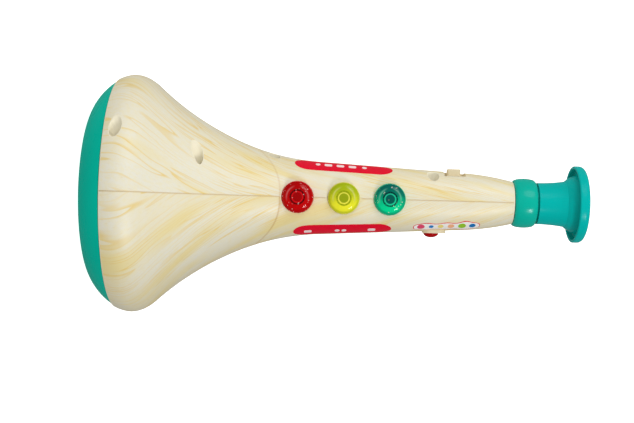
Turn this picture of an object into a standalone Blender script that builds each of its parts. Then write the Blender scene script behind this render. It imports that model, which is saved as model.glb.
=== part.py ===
"""A toy trumpet, standing on its bell.

+Z runs along the trumpet's axis, from the bell's resting face at z = 0 to the mouthpiece. The buttons
face -Y, and the moulded body parts along the plane x = 0 into a left half (-X) and a right half (+X).
"""

import math

import bmesh
import bpy
import numpy as np

for old in list(bpy.data.objects):
    bpy.data.objects.remove(old)

MM = 0.001

# Clearances and facets
SEAT_GAP = 0.3 * MM  # between pieces that rest against each other
SLIDE_GAP = 0.3 * MM  # round pieces that slide
OVERSHOOT = 4 * MM  # how far a cutter reaches past what it cuts
BODY_SEGMENTS = 32
MOUTH_SEGMENTS = 24
ROUND_SEGMENTS = 20
HOLE_SEGMENTS = 12
SMALL_SEGMENTS = 8  # round screw shanks and grille holes
CORNER_STEPS = 3
DOME_STEPS = 4
LIP_STEPS = 6
FUNNEL_STEPS = 6
OUTSIDE_STEPS = (3, 4, 10, 2, 4)  # on the body's lip, shoulder, flare, neck and tail
INSIDE_STEPS = (2, 3, 7, 2, 3)

# Bell: a rolled lip, a shoulder, then a flare that thins out along the axis
BELL_RADIUS = 69.6 * MM
LIP_ROUND = 24 * MM  # reach of the rolled lip, and height of the bell's widest ring
LIP_POWER = 1.75  # of the body's part of the lip: 2 is a quarter circle, less is flatter
RIM_POWER = 1.62  # of the rim, which lies a little inside the body's edge
LIP_REST_INNER = 42 * MM  # inner edge of the flat ring that the bell stands on
RIM_HEIGHT = 14.8 * MM  # joint between the rim and the body
RIM_SKIRT_HEIGHT = 2.0 * MM  # part of the rim that reaches inside the body
RIM_SKIRT_WALL = 1.5 * MM
SHOULDER_LENGTH = 14 * MM
SHOULDER_DROP = 6.5 * MM
FLARE_ROOT = 5 * MM  # radius that the flare tends to
FLARE_DECAY = 63 * MM

# Neck: a tapering rounded box that grows out of the flare and rounds off at the collar
NECK_START = 132 * MM
NECK_START_HALF = 21.45 * MM
NECK_FLARE = 6.5 * MM
NECK_FLARE_LENGTH = 42 * MM
NECK_FLATTEN = 0.9 * MM  # how much less deep than wide
NECK_POWER = 2.25  # along the grip: 2 is an ellipse, more is squarer
CREASE_POWER = 1.97  # where the neck grows out of the flare
CREASE_END = 110 * MM
GRIP_START = 126 * MM
TAIL_START = 218 * MM
TAIL_START_HALF = 16.75 * MM
TAIL_LENGTH = 28.2 * MM
TAIL_DROP = 2.7 * MM
WALL = 2.4 * MM

# Collar and mouthpiece
SPIGOT_RADIUS = 10.2 * MM
SPIGOT_BORE = 7.6 * MM
SPIGOT_SHORT = 1.0 * MM  # the spigot ends this far inside the collar
COLLAR_LENGTH = 12.9 * MM
COLLAR_CROWN = 14.5 * MM
COLLAR_EDGE = 13.1 * MM
MOUTH_LENGTH = 28.2 * MM
MOUTH_TUBE_RADIUS = 12.2 * MM
MOUTH_STEP = 0.9 * MM  # narrow foot that leaves a dark line by the collar
MOUTH_STEP_RADIUS = 10.4 * MM
BREATH_TUBE_BORE = 4.0 * MM
BREATH_TUBE_LENGTH = 25 * MM
BREATH_TUBE_PLUG = 13 * MM  # part of the breath tube that reaches into the body's spigot
CUP_RADIUS = 17.6 * MM
CUP_DEPTH = 13.5 * MM
FLANGE_RADIUS = 22.6 * MM
FLANGE_WIDTH = 5.7 * MM
FLANGE_WALL = 1.9 * MM
FLANGE_ROUND = 2.3 * MM
GROOVE_WIDTH = 3.2 * MM  # hollow behind the rolled-back flange
GROOVE_DEPTH = 3.3 * MM

# Screws that hold the two halves, driven from the left
SCREW_RADIUS = 1.4 * MM
SCREW_LENGTH = 16 * MM
SCREW_HEAD_RADIUS = 2.8 * MM
SCREW_HEAD_HEIGHT = 2.0 * MM
SCREW_HEAD_EDGE = 1.0 * MM  # straight part of the head
SCREW_HEAD_FLAT = 1.7 * MM  # radius of its top
SCREW_SEAT = 6 * MM  # from the parting plane to the floor of the recess
RECESS_RADIUS = 3.35 * MM
POST_WALL = 1.15 * MM
BELL_SCREW_Z = 22 * MM
BELL_SCREW_INSET = 10 * MM  # from the body's outside to the screw's axis
FLARE_SCREW_Z = 63.8 * MM
FLARE_SCREW_INSET = 7.4 * MM
CREASE_SCREW_Z = 105.9 * MM
CREASE_SCREW_Y = -7.6 * MM
TAIL_SCREW_Z = 198.5 * MM
TAIL_SCREW_INSET = 6.6 * MM

# Speaker at the throat of the bell
THROAT_RADIUS = 21 * MM
THROAT_HEIGHT = 32 * MM
SPEAKER_RADIUS = 28 * MM
SPEAKER_RIM = 1.6 * MM
SPEAKER_RIM_WIDTH = 4 * MM
BASKET_DEPTH = 12.2 * MM
BASKET_BACK_RADIUS = 13.5 * MM
BASKET_WALL = 1.2 * MM
CONE_SHEET = 0.9 * MM
SURROUND_WIDTH = 2.2 * MM
COIL_RADIUS = 6 * MM
COIL_DEPTH = 7.4 * MM
MAGNET_RADIUS = 12.5 * MM
MAGNET_HEIGHT = 8 * MM
GRILLE_SHEET = 1.8 * MM
GRILLE_HOLE_RADIUS = 2.2 * MM
GRILLE_RING_STEP = 7 * MM
GRILLE_RINGS = 2
GRILLE_TWIST = 0.3  # turn of each ring of holes, as a share of the step between holes
SPEAKER_SCREWS = 3
SPEAKER_SCREW_RADIUS = 1.0 * MM
SPEAKER_SCREW_HEAD = 1.8 * MM
SPEAKER_SCREW_HEAD_HEIGHT = 1.2 * MM

# Push buttons
BUTTON_FIRST_Z = 120 * MM
BUTTON_PITCH = 26.5 * MM
BUTTON_RADIUS = 9.15 * MM
BUTTON_RISE = 4.6 * MM  # above the body
BUTTON_DOME = 3.8 * MM
BUTTON_DOME_POWER = 2.4
BUTTON_WALL = 1.6 * MM
BUTTON_TOP = 2.9 * MM
BUTTON_TRAVEL = 2.5 * MM
LEDGE_RADIUS = 10.4 * MM  # rim that keeps a button inside the body
LEDGE_THICK = 1.4 * MM
STEM_RADIUS = 3.2 * MM
STEM_BORE = 2.3 * MM
STEM_ROOF = 1.9 * MM
CONTACT_THICK = 1.0 * MM
SPRING_RADIUS = 3.95 * MM
SPRING_WIRE = 0.6 * MM
SPRING_COILS = 5
POINTS_PER_COIL = 8
LED_RADIUS = 1.5 * MM
LED_HEIGHT = 4.6 * MM

# Circuit board and batteries
BOARD_FRONT = 5 * MM  # from the axis to the face under the buttons
BOARD_THICK = 1.6 * MM
BOARD_MARGIN = 1.0 * MM  # from the screw posts at its ends
BOARD_EDGE = 0.6 * MM  # how far it reaches into the ribs
CHIP_RADIUS = 3.6 * MM
CHIP_HEIGHT = 1.6 * MM
RIB_Z = (128 * MM, 168 * MM)
RIB_THICK = 2.0 * MM
RIB_LIP = 2.2 * MM
CELL_RADIUS = 5.25 * MM
CELL_LENGTH = 44.5 * MM
CELL_NUB_RADIUS = 1.9 * MM
CELL_NUB_HEIGHT = 0.8 * MM
TRAY_LOW = 119.5 * MM
TRAY_FRONT = 1.0 * MM
TRAY_BACK = 11.0 * MM
TRAY_FLOOR = 1.6 * MM
TRAY_WALL = 1.15 * MM
TRAY_TAB = 9 * MM  # end of the tray that takes the door's screw
CONTACT_SPACE = 3.0 * MM
CONTACT_SHEET = 0.5 * MM
CONTACT_HEIGHT = 8.9 * MM
SPRING_BUMP = (3.4 * MM, 2.1 * MM)  # base and tip radius of a coned contact
FLAT_BUMP = (2.6 * MM, 1.6 * MM)
DOOR_THICK = 2.2 * MM
DOOR_HALF_WIDTH = 12.6 * MM
DOOR_CORNER = 3 * MM
DOOR_MARGIN = 1.5 * MM  # past the tray at each end
DOOR_SCREW_RADIUS = 1.2 * MM
DOOR_SCREW_HEAD = 2.3 * MM
DOOR_SCREW_HEAD_HEIGHT = 1.2 * MM
DOOR_SCREW_LENGTH = 7 * MM

# Slide switch on the left side
SWITCH_Z = 211.4 * MM
SWITCH_TRAVEL = 2.0 * MM  # each way
SWITCH_RECESS_LENGTH = 12.7 * MM
SWITCH_RECESS_WIDTH = 16.2 * MM
SWITCH_RECESS_ASIDE = -3.9 * MM  # its floor runs out at the surface on the front side only
SWITCH_RECESS_DEPTH = 2.6 * MM
SWITCH_PAD_WIDTH = 17 * MM  # thicker wall under the recess
SWITCH_PAD_LENGTH = 16.6 * MM
SWITCH_PAD_WALL = 1.4 * MM
KNOB_LENGTH = 7.7 * MM
KNOB_WIDTH = 6.6 * MM
KNOB_RISE = 1.95 * MM
KNOB_CORNER = 0.8 * MM
KNOB_STEM_LENGTH = 4.4 * MM
KNOB_STEM_WIDTH = 3.4 * MM
KNOB_STEM_DEPTH = 3.1 * MM
LEVER_LENGTH = 1.8 * MM
LEVER_WIDTH = 1.0 * MM
LEVER_GRIP = 2.6 * MM  # how far the lever reaches into the knob
LEVER_ROOT = 2.4 * MM  # and into the switch
SWITCH_LENGTH = 12 * MM
SWITCH_WIDTH = 6.4 * MM
SWITCH_HEIGHT = 5 * MM
POCKET_WALL = 1.5 * MM

# Side button on the right side, with its switch
SIDE_Z = 198.9 * MM
SIDE_RADIUS = 4.45 * MM
SIDE_RISE = 2.6 * MM  # above the plinth
SIDE_TRAVEL = 0.8 * MM
SIDE_LEDGE_RADIUS = 5.2 * MM
SIDE_LEDGE_THICK = 1.2 * MM
SIDE_NUB_RADIUS = 1.6 * MM
SIDE_NUB_LENGTH = 1.0 * MM
PLINTH_LENGTH = 13.6 * MM
PLINTH_WIDTH = 11.6 * MM
PLINTH_CORNER = 4.5 * MM
PLINTH_AHEAD = 1.6 * MM  # its middle lies this far from the button's, towards the collar
PLINTH_RISE = 1.2 * MM
TACT_HALF = 3.0 * MM
TACT_HEIGHT = 4.0 * MM
PLUNGER_RADIUS = 1.7 * MM
PLUNGER_PROUD = 1.4 * MM
PLUNGER_ROOT = 1.5 * MM
SHELF_THICK = 2.0 * MM

# Microphone behind the mouthpiece
MIC_RADIUS = 4.85 * MM
MIC_LENGTH = 6 * MM
MIC_FACE_RADIUS = 3.9 * MM
MIC_FACE_DEPTH = 0.6 * MM
MIC_RIB_Z = 239 * MM
MIC_RIB_THICK = 3 * MM

# Heights that follow from the sizes above
SHELL_LOW = RIM_HEIGHT + SEAT_GAP
FLARE_START = LIP_ROUND + SHOULDER_LENGTH
FLARE_START_RADIUS = BELL_RADIUS - SHOULDER_DROP
BODY_END = TAIL_START + TAIL_LENGTH
COLLAR_LOW = BODY_END + SEAT_GAP
COLLAR_HIGH = COLLAR_LOW + COLLAR_LENGTH
SPIGOT_END = COLLAR_HIGH - SPIGOT_SHORT
MOUTH_LOW = COLLAR_HIGH + SEAT_GAP
MOUTH_END = MOUTH_LOW + MOUTH_LENGTH
POST_RADIUS = RECESS_RADIUS + POST_WALL
GRILLE_LOW = THROAT_HEIGHT + WALL + SEAT_GAP
SPEAKER_LOW = GRILLE_LOW + GRILLE_SHEET + SEAT_GAP
BOARD_LOW = CREASE_SCREW_Z + POST_RADIUS + BOARD_MARGIN
BOARD_HIGH = TAIL_SCREW_Z - POST_RADIUS - BOARD_MARGIN
BOARD_BACK = BOARD_FRONT - BOARD_THICK
CELL_X = CELL_RADIUS + SEAT_GAP / 2
CELL_Y = TRAY_FRONT + TRAY_FLOOR + SEAT_GAP + CELL_RADIUS
POCKET_HALF = CELL_X + CELL_RADIUS + SEAT_GAP
POCKET_LOW = TRAY_LOW + TRAY_WALL
POCKET_HIGH = POCKET_LOW + CELL_LENGTH + 2 * CONTACT_SPACE
TRAY_HALF = POCKET_HALF + TRAY_WALL
TRAY_HIGH = POCKET_HIGH + TRAY_WALL + TRAY_TAB
RIB_INNER = TRAY_HALF + SEAT_GAP
BOARD_HALF = RIB_INNER + BOARD_EDGE
DOOR_LOW = TRAY_LOW - DOOR_MARGIN
DOOR_HIGH = TRAY_HIGH + DOOR_MARGIN
DOOR_SCREW_Z = POCKET_HIGH + TRAY_WALL + TRAY_TAB / 2


# The body's outside

FRONT = -math.pi / 2
RIGHT = 0.0


def flare_radius(z):
    """Radius of the bell at height z: the lip's superellipse, a smooth shoulder, then an exponential flare."""
    if z < LIP_ROUND:
        rise = ((LIP_ROUND - z) / LIP_ROUND) ** LIP_POWER
        return BELL_RADIUS - LIP_ROUND + LIP_ROUND * (1 - rise) ** (1 / LIP_POWER)
    end_slope = -(FLARE_START_RADIUS - FLARE_ROOT) / FLARE_DECAY
    if z < FLARE_START:
        t = (z - LIP_ROUND) / SHOULDER_LENGTH
        fall = SHOULDER_DROP * (3 * t**2 - 2 * t**3)
        return BELL_RADIUS - fall + end_slope * SHOULDER_LENGTH * (t**3 - t**2)
    return FLARE_ROOT + (FLARE_START_RADIUS - FLARE_ROOT) * math.exp(-(z - FLARE_START) / FLARE_DECAY)


def neck_half_width(z):
    """Straight taper, with a parabola added towards the bell and one taken off towards the collar."""
    taper = (TAIL_START_HALF - NECK_START_HALF) / (TAIL_START - NECK_START)
    before = min(1.0, max(0.0, NECK_START - z) / NECK_FLARE_LENGTH)
    after = max(0.0, z - TAIL_START) / TAIL_LENGTH
    return NECK_START_HALF + taper * (z - NECK_START) + NECK_FLARE * before**2 - TAIL_DROP * after**2


def tail_share(z):
    """0 along the neck, rising to 1 at the collar, where the section is round."""
    return min(1.0, max(0.0, z - TAIL_START) / TAIL_LENGTH)


def neck_half_depth(z):
    return neck_half_width(z) - NECK_FLATTEN * (1 - tail_share(z))


def neck_power(z):
    """Squarest along the grip, rounder towards the flare and round at the collar."""
    t = min(1.0, max(0.0, z - CREASE_END) / (GRIP_START - CREASE_END))
    grip = CREASE_POWER + (NECK_POWER - CREASE_POWER) * (3 * t**2 - 2 * t**3)
    return grip - (NECK_POWER - 2) * tail_share(z)


def body_radius(z, angle):
    """Distance from the axis to the body's outside: whichever of flare and neck stands out further."""
    power = neck_power(z)
    across = (abs(math.cos(angle)) / neck_half_width(z)) ** power
    deep = (abs(math.sin(angle)) / neck_half_depth(z)) ** power
    return max(flare_radius(z), (across + deep) ** (-1 / power))


def front_reach(z):
    return body_radius(z, FRONT)


def side_reach(z):
    return body_radius(z, RIGHT)


def room_inside(z, aside, facing):
    """How far out a point that lies aside of the middle can be and still clear the inside of the wall."""
    low, high = 0.0, BELL_RADIUS
    for _ in range(30):
        middle = (low + high) / 2
        wall = body_radius(z, facing + math.atan2(aside, middle)) - WALL - SEAT_GAP
        if math.hypot(aside, middle) < wall:
            low = middle
        else:
            high = middle
    return low


def ledge_height(z, radius, facing):
    """How far out the top of a round ledge can be and still clear the inside of the wall all round."""
    turns = np.linspace(0, 2 * math.pi, ROUND_SEGMENTS + 1)
    return min(room_inside(z + radius * math.sin(t), radius * math.cos(t), facing) for t in turns)


# Shapes

def finish(obj, colour, roughness, metallic=0.0, transmission=0.0):
    """Gives the piece a material of its own; the colour is in display values from 0 to 255."""
    shade = bpy.data.materials.new(obj.name)
    shade.use_nodes = True
    surface = shade.node_tree.nodes["Principled BSDF"]
    linear = [(c / 255) ** 2.2 for c in colour]
    surface.inputs["Base Color"].default_value = (*linear, 1.0)
    surface.inputs["Roughness"].default_value = roughness
    surface.inputs["Metallic"].default_value = metallic
    surface.inputs["Transmission Weight"].default_value = transmission
    obj.data.materials.append(shade)
    return obj


def solid(name, points, faces):
    """A mesh object with its faces turned outwards and its round faces shaded smooth."""
    mesh = bpy.data.meshes.new(name)
    mesh.from_pydata([tuple(p) for p in points], [], faces)
    shape = bmesh.new()
    shape.from_mesh(mesh)
    bmesh.ops.recalc_face_normals(shape, faces=shape.faces)
    shape.to_mesh(mesh)
    shape.free()
    mesh.shade_smooth()
    mesh.set_sharp_from_angle(angle=math.radians(35))
    obj = bpy.data.objects.new(name, mesh)
    bpy.context.collection.objects.link(obj)
    return obj


def loft(name, rings, whole=True):
    """Skin over rings of equal length: closed round the axis, or a half closed by one flat face."""
    rings = np.asarray(rings)
    count, around = rings.shape[:2]
    index = np.arange(count * around).reshape(count, around)
    columns = around if whole else around - 1
    faces = []
    for k in range(count - 1):
        for i in range(columns):
            j = (i + 1) % around
            faces.append((index[k, i], index[k, j], index[k + 1, j], index[k + 1, i]))
    faces.append(tuple(index[0]))
    faces.append(tuple(index[-1]))
    if not whole:
        faces.append((*index[:, 0], *index[::-1, -1]))
    return solid(name, rings.reshape(-1, 3), [tuple(int(v) for v in face) for face in faces])


def turned(name, profile, segments=ROUND_SEGMENTS):
    """Turns (radius, height) points about the local z axis: a loop, or a chain from the axis to the axis."""
    points, rings = [], []
    for radius, height in profile:
        start = len(points)
        if radius == 0:
            points.append((0.0, 0.0, height))
            rings.append([start] * segments)
            continue
        for i in range(segments):
            turn = 2 * math.pi * i / segments
            points.append((radius * math.cos(turn), radius * math.sin(turn), height))
        rings.append(list(range(start, start + segments)))
    on_axis = profile[0][0] == 0 and profile[-1][0] == 0
    pairs = list(zip(rings, rings[1:] if on_axis else rings[1:] + rings[:1]))
    faces = []
    for low, high in pairs:
        for i in range(segments):
            j = (i + 1) % segments
            corners = dict.fromkeys((low[i], low[j], high[j], high[i]))
            faces.append(tuple(corners))
    return solid(name, points, faces)


def arc(centre, radii, start, end, steps):
    """Points on an ellipse about centre, from one angle to another in degrees."""
    turns = np.radians(np.linspace(start, end, steps + 1))
    return [(centre[0] + radii[0] * math.cos(t), centre[1] + radii[1] * math.sin(t)) for t in turns]


def rectangle(width, length, corner=0.0, centre=(0.0, 0.0)):
    """Outline of a rectangle, with rounded corners where a radius is given."""
    outline = []
    for quarter, (side_x, side_y) in enumerate(((1, 1), (-1, 1), (-1, -1), (1, -1))):
        x = centre[0] + side_x * (width / 2 - corner)
        y = centre[1] + side_y * (length / 2 - corner)
        if corner:
            outline += arc((x, y), (corner, corner), 90 * quarter, 90 * quarter + 90, CORNER_STEPS)
        else:
            outline.append((x, y))
    return outline


def circle(radius, centre=(0.0, 0.0), segments=HOLE_SEGMENTS):
    return arc(centre, (radius, radius), 0, 360, segments)[:-1]


def prism(name, outline, low, high, axis="z"):
    """An outline carried along an axis: it lies in (x, y), (x, z) or (y, z), the two axes that are left."""
    slots = {"x": (1, 2, 0), "y": (0, 2, 1), "z": (0, 1, 2)}[axis]
    points = np.zeros((2, len(outline), 3))
    points[:, :, slots[0]] = [p[0] for p in outline]
    points[:, :, slots[1]] = [p[1] for p in outline]
    points[:, :, slots[2]] = [[low], [high]]
    return loft(name, points)


def helper(obj):
    obj.hide_render = True
    obj.display_type = "WIRE"
    return obj


def combine(obj, other, operation):
    step = obj.modifiers.new(other.name, "BOOLEAN")
    step.operation = operation
    step.object = helper(other)
    step.solver = "EXACT"


def cut(obj, tool):
    combine(obj, tool, "DIFFERENCE")


def join(obj, added):
    combine(obj, added, "UNION")


def axis_empty(name, place, turn):
    """An empty on a moving piece's axis, whose local z points the way that the piece faces."""
    empty = bpy.data.objects.new(name, None)
    empty.location = place
    empty.rotation_euler = turn
    bpy.context.collection.objects.link(empty)
    return empty


def on(parent, obj):
    obj.parent = parent
    return obj


FACING_FRONT = (math.pi / 2, 0, 0)
FACING_RIGHT = (0, math.pi / 2, 0)
FACING_LEFT = (0, -math.pi / 2, 0)

WOOD_PRINT = (232, 205, 160)
TEAL = (0, 165, 145)
STEEL = (150, 150, 152)
BLACK = (28, 28, 30)


# Body halves

def body_rings(heights, angles, inset=0.0):
    return [
        [
            ((body_radius(z, a) - inset) * math.cos(a), (body_radius(z, a) - inset) * math.sin(a), z)
            for a in angles
        ]
        for z in heights
    ]


def round_ring(radius, z, angles):
    return [(radius * math.cos(a), radius * math.sin(a), z) for a in angles]


def stations(low, end, steps):
    """Heights along the body, with a number of steps for each stretch of it."""
    ends = (low, LIP_ROUND, FLARE_START, NECK_START, TAIL_START, end)
    heights = [low]
    for start, stop, count in zip(ends, ends[1:], steps):
        heights += list(np.linspace(start, stop, count + 1)[1:])
    return heights


FULL_TURN = [2 * math.pi * i / BODY_SEGMENTS for i in range(BODY_SEGMENTS)]


def body_form(name, inset):
    """The whole body, inset from its outside, as a solid to cut with."""
    steps = INSIDE_STEPS if inset else OUTSIDE_STEPS
    return loft(name, body_rings(stations(SHELL_LOW - OVERSHOOT, BODY_END - inset, steps), FULL_TURN, inset))


def screw_places():
    """(y, z) of each body screw."""
    bell_y = flare_radius(BELL_SCREW_Z) - BELL_SCREW_INSET
    flare_y = flare_radius(FLARE_SCREW_Z) - FLARE_SCREW_INSET
    tail_y = front_reach(TAIL_SCREW_Z) - TAIL_SCREW_INSET
    return (
        (-bell_y, BELL_SCREW_Z), (bell_y, BELL_SCREW_Z),
        (-flare_y, FLARE_SCREW_Z), (flare_y, FLARE_SCREW_Z),
        (CREASE_SCREW_Y, CREASE_SCREW_Z),
        (-tail_y, TAIL_SCREW_Z), (tail_y, TAIL_SCREW_Z),
    )


SCREWS = screw_places()
TAIL_POST_Y = SCREWS[-1][0]
BUTTON_Z = [BUTTON_FIRST_Z + i * BUTTON_PITCH for i in range(3)]

# Distances from the axis for the switch on the left, measured outwards
SWITCH_FLOOR = side_reach(SWITCH_Z) - SWITCH_RECESS_DEPTH
KNOB_TOP = side_reach(SWITCH_Z) + KNOB_RISE
KNOB_STEM_END = SWITCH_FLOOR - KNOB_STEM_DEPTH
SWITCH_TOP = KNOB_STEM_END - SLIDE_GAP
SWITCH_BOTTOM = SWITCH_TOP - SWITCH_HEIGHT

# And for the side button on the right
PLINTH_FACE = side_reach(SIDE_Z) + PLINTH_RISE
SIDE_LEDGE_TOP = ledge_height(SIDE_Z, SIDE_LEDGE_RADIUS, RIGHT)
SIDE_LEDGE_LOW = SIDE_LEDGE_TOP - SIDE_LEDGE_THICK
SIDE_NUB_END = SIDE_LEDGE_LOW - SIDE_NUB_LENGTH
PLUNGER_TOP = SIDE_NUB_END - SEAT_GAP
TACT_TOP = PLUNGER_TOP - PLUNGER_PROUD
TACT_LOW = TACT_TOP - TACT_HEIGHT
SHELF_TOP = TACT_LOW - SEAT_GAP


def rib_outline(side):
    """Section of a rib across the body: its inner edge is notched for the board."""
    slot_front = -BOARD_FRONT - SEAT_GAP
    slot_back = -BOARD_BACK + SEAT_GAP
    notch = BOARD_HALF + SEAT_GAP
    front = slot_front - RIB_LIP
    back = TRAY_BACK - RIB_LIP
    edge = [
        (BELL_RADIUS, front), (RIB_INNER, front), (RIB_INNER, slot_front), (notch, slot_front),
        (notch, slot_back), (RIB_INNER, slot_back), (RIB_INNER, back), (BELL_RADIUS, back),
    ]
    return [(side * x, y) for x, y in edge]


def tact_bracket_outline():
    """Section along the body of the bracket that holds the side button's switch: a shelf with two low walls."""
    low = SHELF_TOP - SHELF_THICK
    inner = TACT_HALF + SEAT_GAP
    outer = inner + POCKET_WALL
    edge = [
        (low, -outer), (TACT_TOP, -outer), (TACT_TOP, -inner), (SHELF_TOP, -inner),
        (SHELF_TOP, inner), (TACT_TOP, inner), (TACT_TOP, outer), (low, outer),
    ]
    return [(x, SIDE_Z + z) for x, z in edge]


def make_cavity():
    """The body's hollow: its inside, less the screw posts and the ribs that hold the inner pieces."""
    cavity = body_form("body_hollow", WALL)
    for i, (y, z) in enumerate(SCREWS):
        post = prism(f"post_{i}", circle(POST_RADIUS, (y, z)), -BELL_RADIUS, BELL_RADIUS, "x")
        cut(cavity, post)
    for z in RIB_Z:
        for side in (-1, 1):
            name = f"rib_{round(z / MM)}_{side}"
            cut(cavity, prism(name, rib_outline(side), z - RIB_THICK / 2, z + RIB_THICK / 2))
    for end in (-1, 1):
        z = SWITCH_Z + end * (SWITCH_LENGTH / 2 + SEAT_GAP + POCKET_WALL / 2)
        pocket = rectangle(SWITCH_WIDTH, POCKET_WALL, centre=(0, z))
        cut(cavity, prism(f"switch_pocket_{end}", pocket, -BELL_RADIUS, -SWITCH_BOTTOM, "x"))
    pad = rectangle(SWITCH_PAD_WIDTH, SWITCH_PAD_LENGTH, centre=(0, SWITCH_Z))
    cut(cavity, prism("switch_pad", pad, -BELL_RADIUS, -SWITCH_FLOOR + SWITCH_PAD_WALL, "x"))
    cut(cavity, prism("tact_bracket", tact_bracket_outline(), -TAIL_POST_Y, TAIL_POST_Y, "y"))
    mic_plate = turned("mic_plate", [
        (MIC_RADIUS + SEAT_GAP, MIC_RIB_Z), (BELL_RADIUS, MIC_RIB_Z),
        (BELL_RADIUS, MIC_RIB_Z + MIC_RIB_THICK), (MIC_RADIUS + SEAT_GAP, MIC_RIB_Z + MIC_RIB_THICK),
    ])
    cut(cavity, mic_plate)
    return cavity


def make_shells():
    cavity = make_cavity()
    bore_low = BODY_END - 2 * WALL
    bore = prism("spigot_bore", circle(SPIGOT_BORE, segments=BODY_SEGMENTS), bore_low, SPIGOT_END + OVERSHOOT)
    holes = [
        prism(f"button_hole_{i}", circle(BUTTON_RADIUS + SLIDE_GAP, (0, z), ROUND_SEGMENTS),
              -front_reach(z) - OVERSHOOT, -BOARD_FRONT, "y")
        for i, z in enumerate(BUTTON_Z)
    ]
    door_middle = (DOOR_LOW + DOOR_HIGH) / 2
    door_hole = prism("door_hole", rectangle(2 * DOOR_HALF_WIDTH, DOOR_HIGH - DOOR_LOW, DOOR_CORNER,
                                             (0, door_middle)), TRAY_BACK, BELL_RADIUS, "y")
    shells = {}
    for name, side in (("left_shell", -1), ("right_shell", 1)):
        start = -math.pi / 2 if side > 0 else math.pi / 2
        angles = [start + math.pi * i / (BODY_SEGMENTS // 2) for i in range(BODY_SEGMENTS // 2 + 1)]
        rings = body_rings(stations(SHELL_LOW, BODY_END, OUTSIDE_STEPS), angles)
        rings += [round_ring(SPIGOT_RADIUS, BODY_END, angles), round_ring(SPIGOT_RADIUS, SPIGOT_END, angles)]
        shell = loft(name, rings, whole=False)
        shell.location.x = side * SEAT_GAP / 2
        shells[name] = finish(shell, WOOD_PRINT, 0.38)
    left, right = shells["left_shell"], shells["right_shell"]
    plinth = rectangle(PLINTH_WIDTH, PLINTH_LENGTH, PLINTH_CORNER, (0, SIDE_Z + PLINTH_AHEAD))
    join(right, prism("plinth", plinth, TACT_TOP, PLINTH_FACE, "x"))
    for shell in (left, right):
        for tool in (cavity, bore, door_hole, *holes):
            cut(shell, tool)
    for i, (y, z) in enumerate(SCREWS):
        recess = prism(f"recess_{i}", circle(RECESS_RADIUS, (y, z)), -BELL_RADIUS - OVERSHOOT, -SCREW_SEAT, "x")
        screw_tip = SCREW_LENGTH - SCREW_SEAT
        hole = prism(f"screw_hole_{i}", circle(SCREW_RADIUS + SEAT_GAP, (y, z), SMALL_SEGMENTS),
                     -SCREW_SEAT - OVERSHOOT / 2, screw_tip + SEAT_GAP, "x")
        cut(left, recess)
        cut(left, hole)
        cut(right, hole)
    recess = rectangle(SWITCH_RECESS_WIDTH, SWITCH_RECESS_LENGTH, centre=(SWITCH_RECESS_ASIDE, SWITCH_Z))
    cut(left, prism("switch_recess", recess, -KNOB_TOP - OVERSHOOT, -SWITCH_FLOOR, "x"))
    slot_length = KNOB_STEM_LENGTH + 2 * SWITCH_TRAVEL + 2 * SLIDE_GAP
    slot = rectangle(KNOB_STEM_WIDTH + 2 * SLIDE_GAP, slot_length, centre=(0, SWITCH_Z))
    cut(left, prism("switch_slot", slot, -SWITCH_FLOOR - OVERSHOOT / 4, -SWITCH_TOP, "x"))
    side_hole = circle(SIDE_RADIUS + SLIDE_GAP, (0, SIDE_Z), ROUND_SEGMENTS)
    cut(right, prism("side_hole", side_hole, TACT_TOP, PLINTH_FACE + OVERSHOOT, "x"))


def make_screws():
    tip = SCREW_SEAT + SEAT_GAP - SCREW_LENGTH
    seat = SCREW_SEAT + SEAT_GAP
    profile = [
        (0, tip), (SCREW_RADIUS, tip), (SCREW_RADIUS, seat), (SCREW_HEAD_RADIUS, seat),
        (SCREW_HEAD_RADIUS, seat + SCREW_HEAD_EDGE), (SCREW_HEAD_FLAT, seat + SCREW_HEAD_HEIGHT),
        (0, seat + SCREW_HEAD_HEIGHT),
    ]
    for i, (y, z) in enumerate(SCREWS):
        screw = turned(f"shell_screw_{i + 1}", profile, HOLE_SEGMENTS)
        screw.location = (0, y, z)
        screw.rotation_euler = FACING_LEFT
        finish(screw, STEEL, 0.35, 1.0)


# Bell rim and speaker

def rim_lip(size, start, end, steps):
    """Quarter superellipse about the lip's centre, between two angles below the horizontal."""
    points = []
    for i in range(steps + 1):
        turn = start + (end - start) * i / steps
        out = size * max(0.0, math.cos(turn)) ** (2 / RIM_POWER)
        down = size * math.sin(turn) ** (2 / RIM_POWER)
        points.append((BELL_RADIUS - LIP_ROUND + out, LIP_ROUND - down))
    return points


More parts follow.
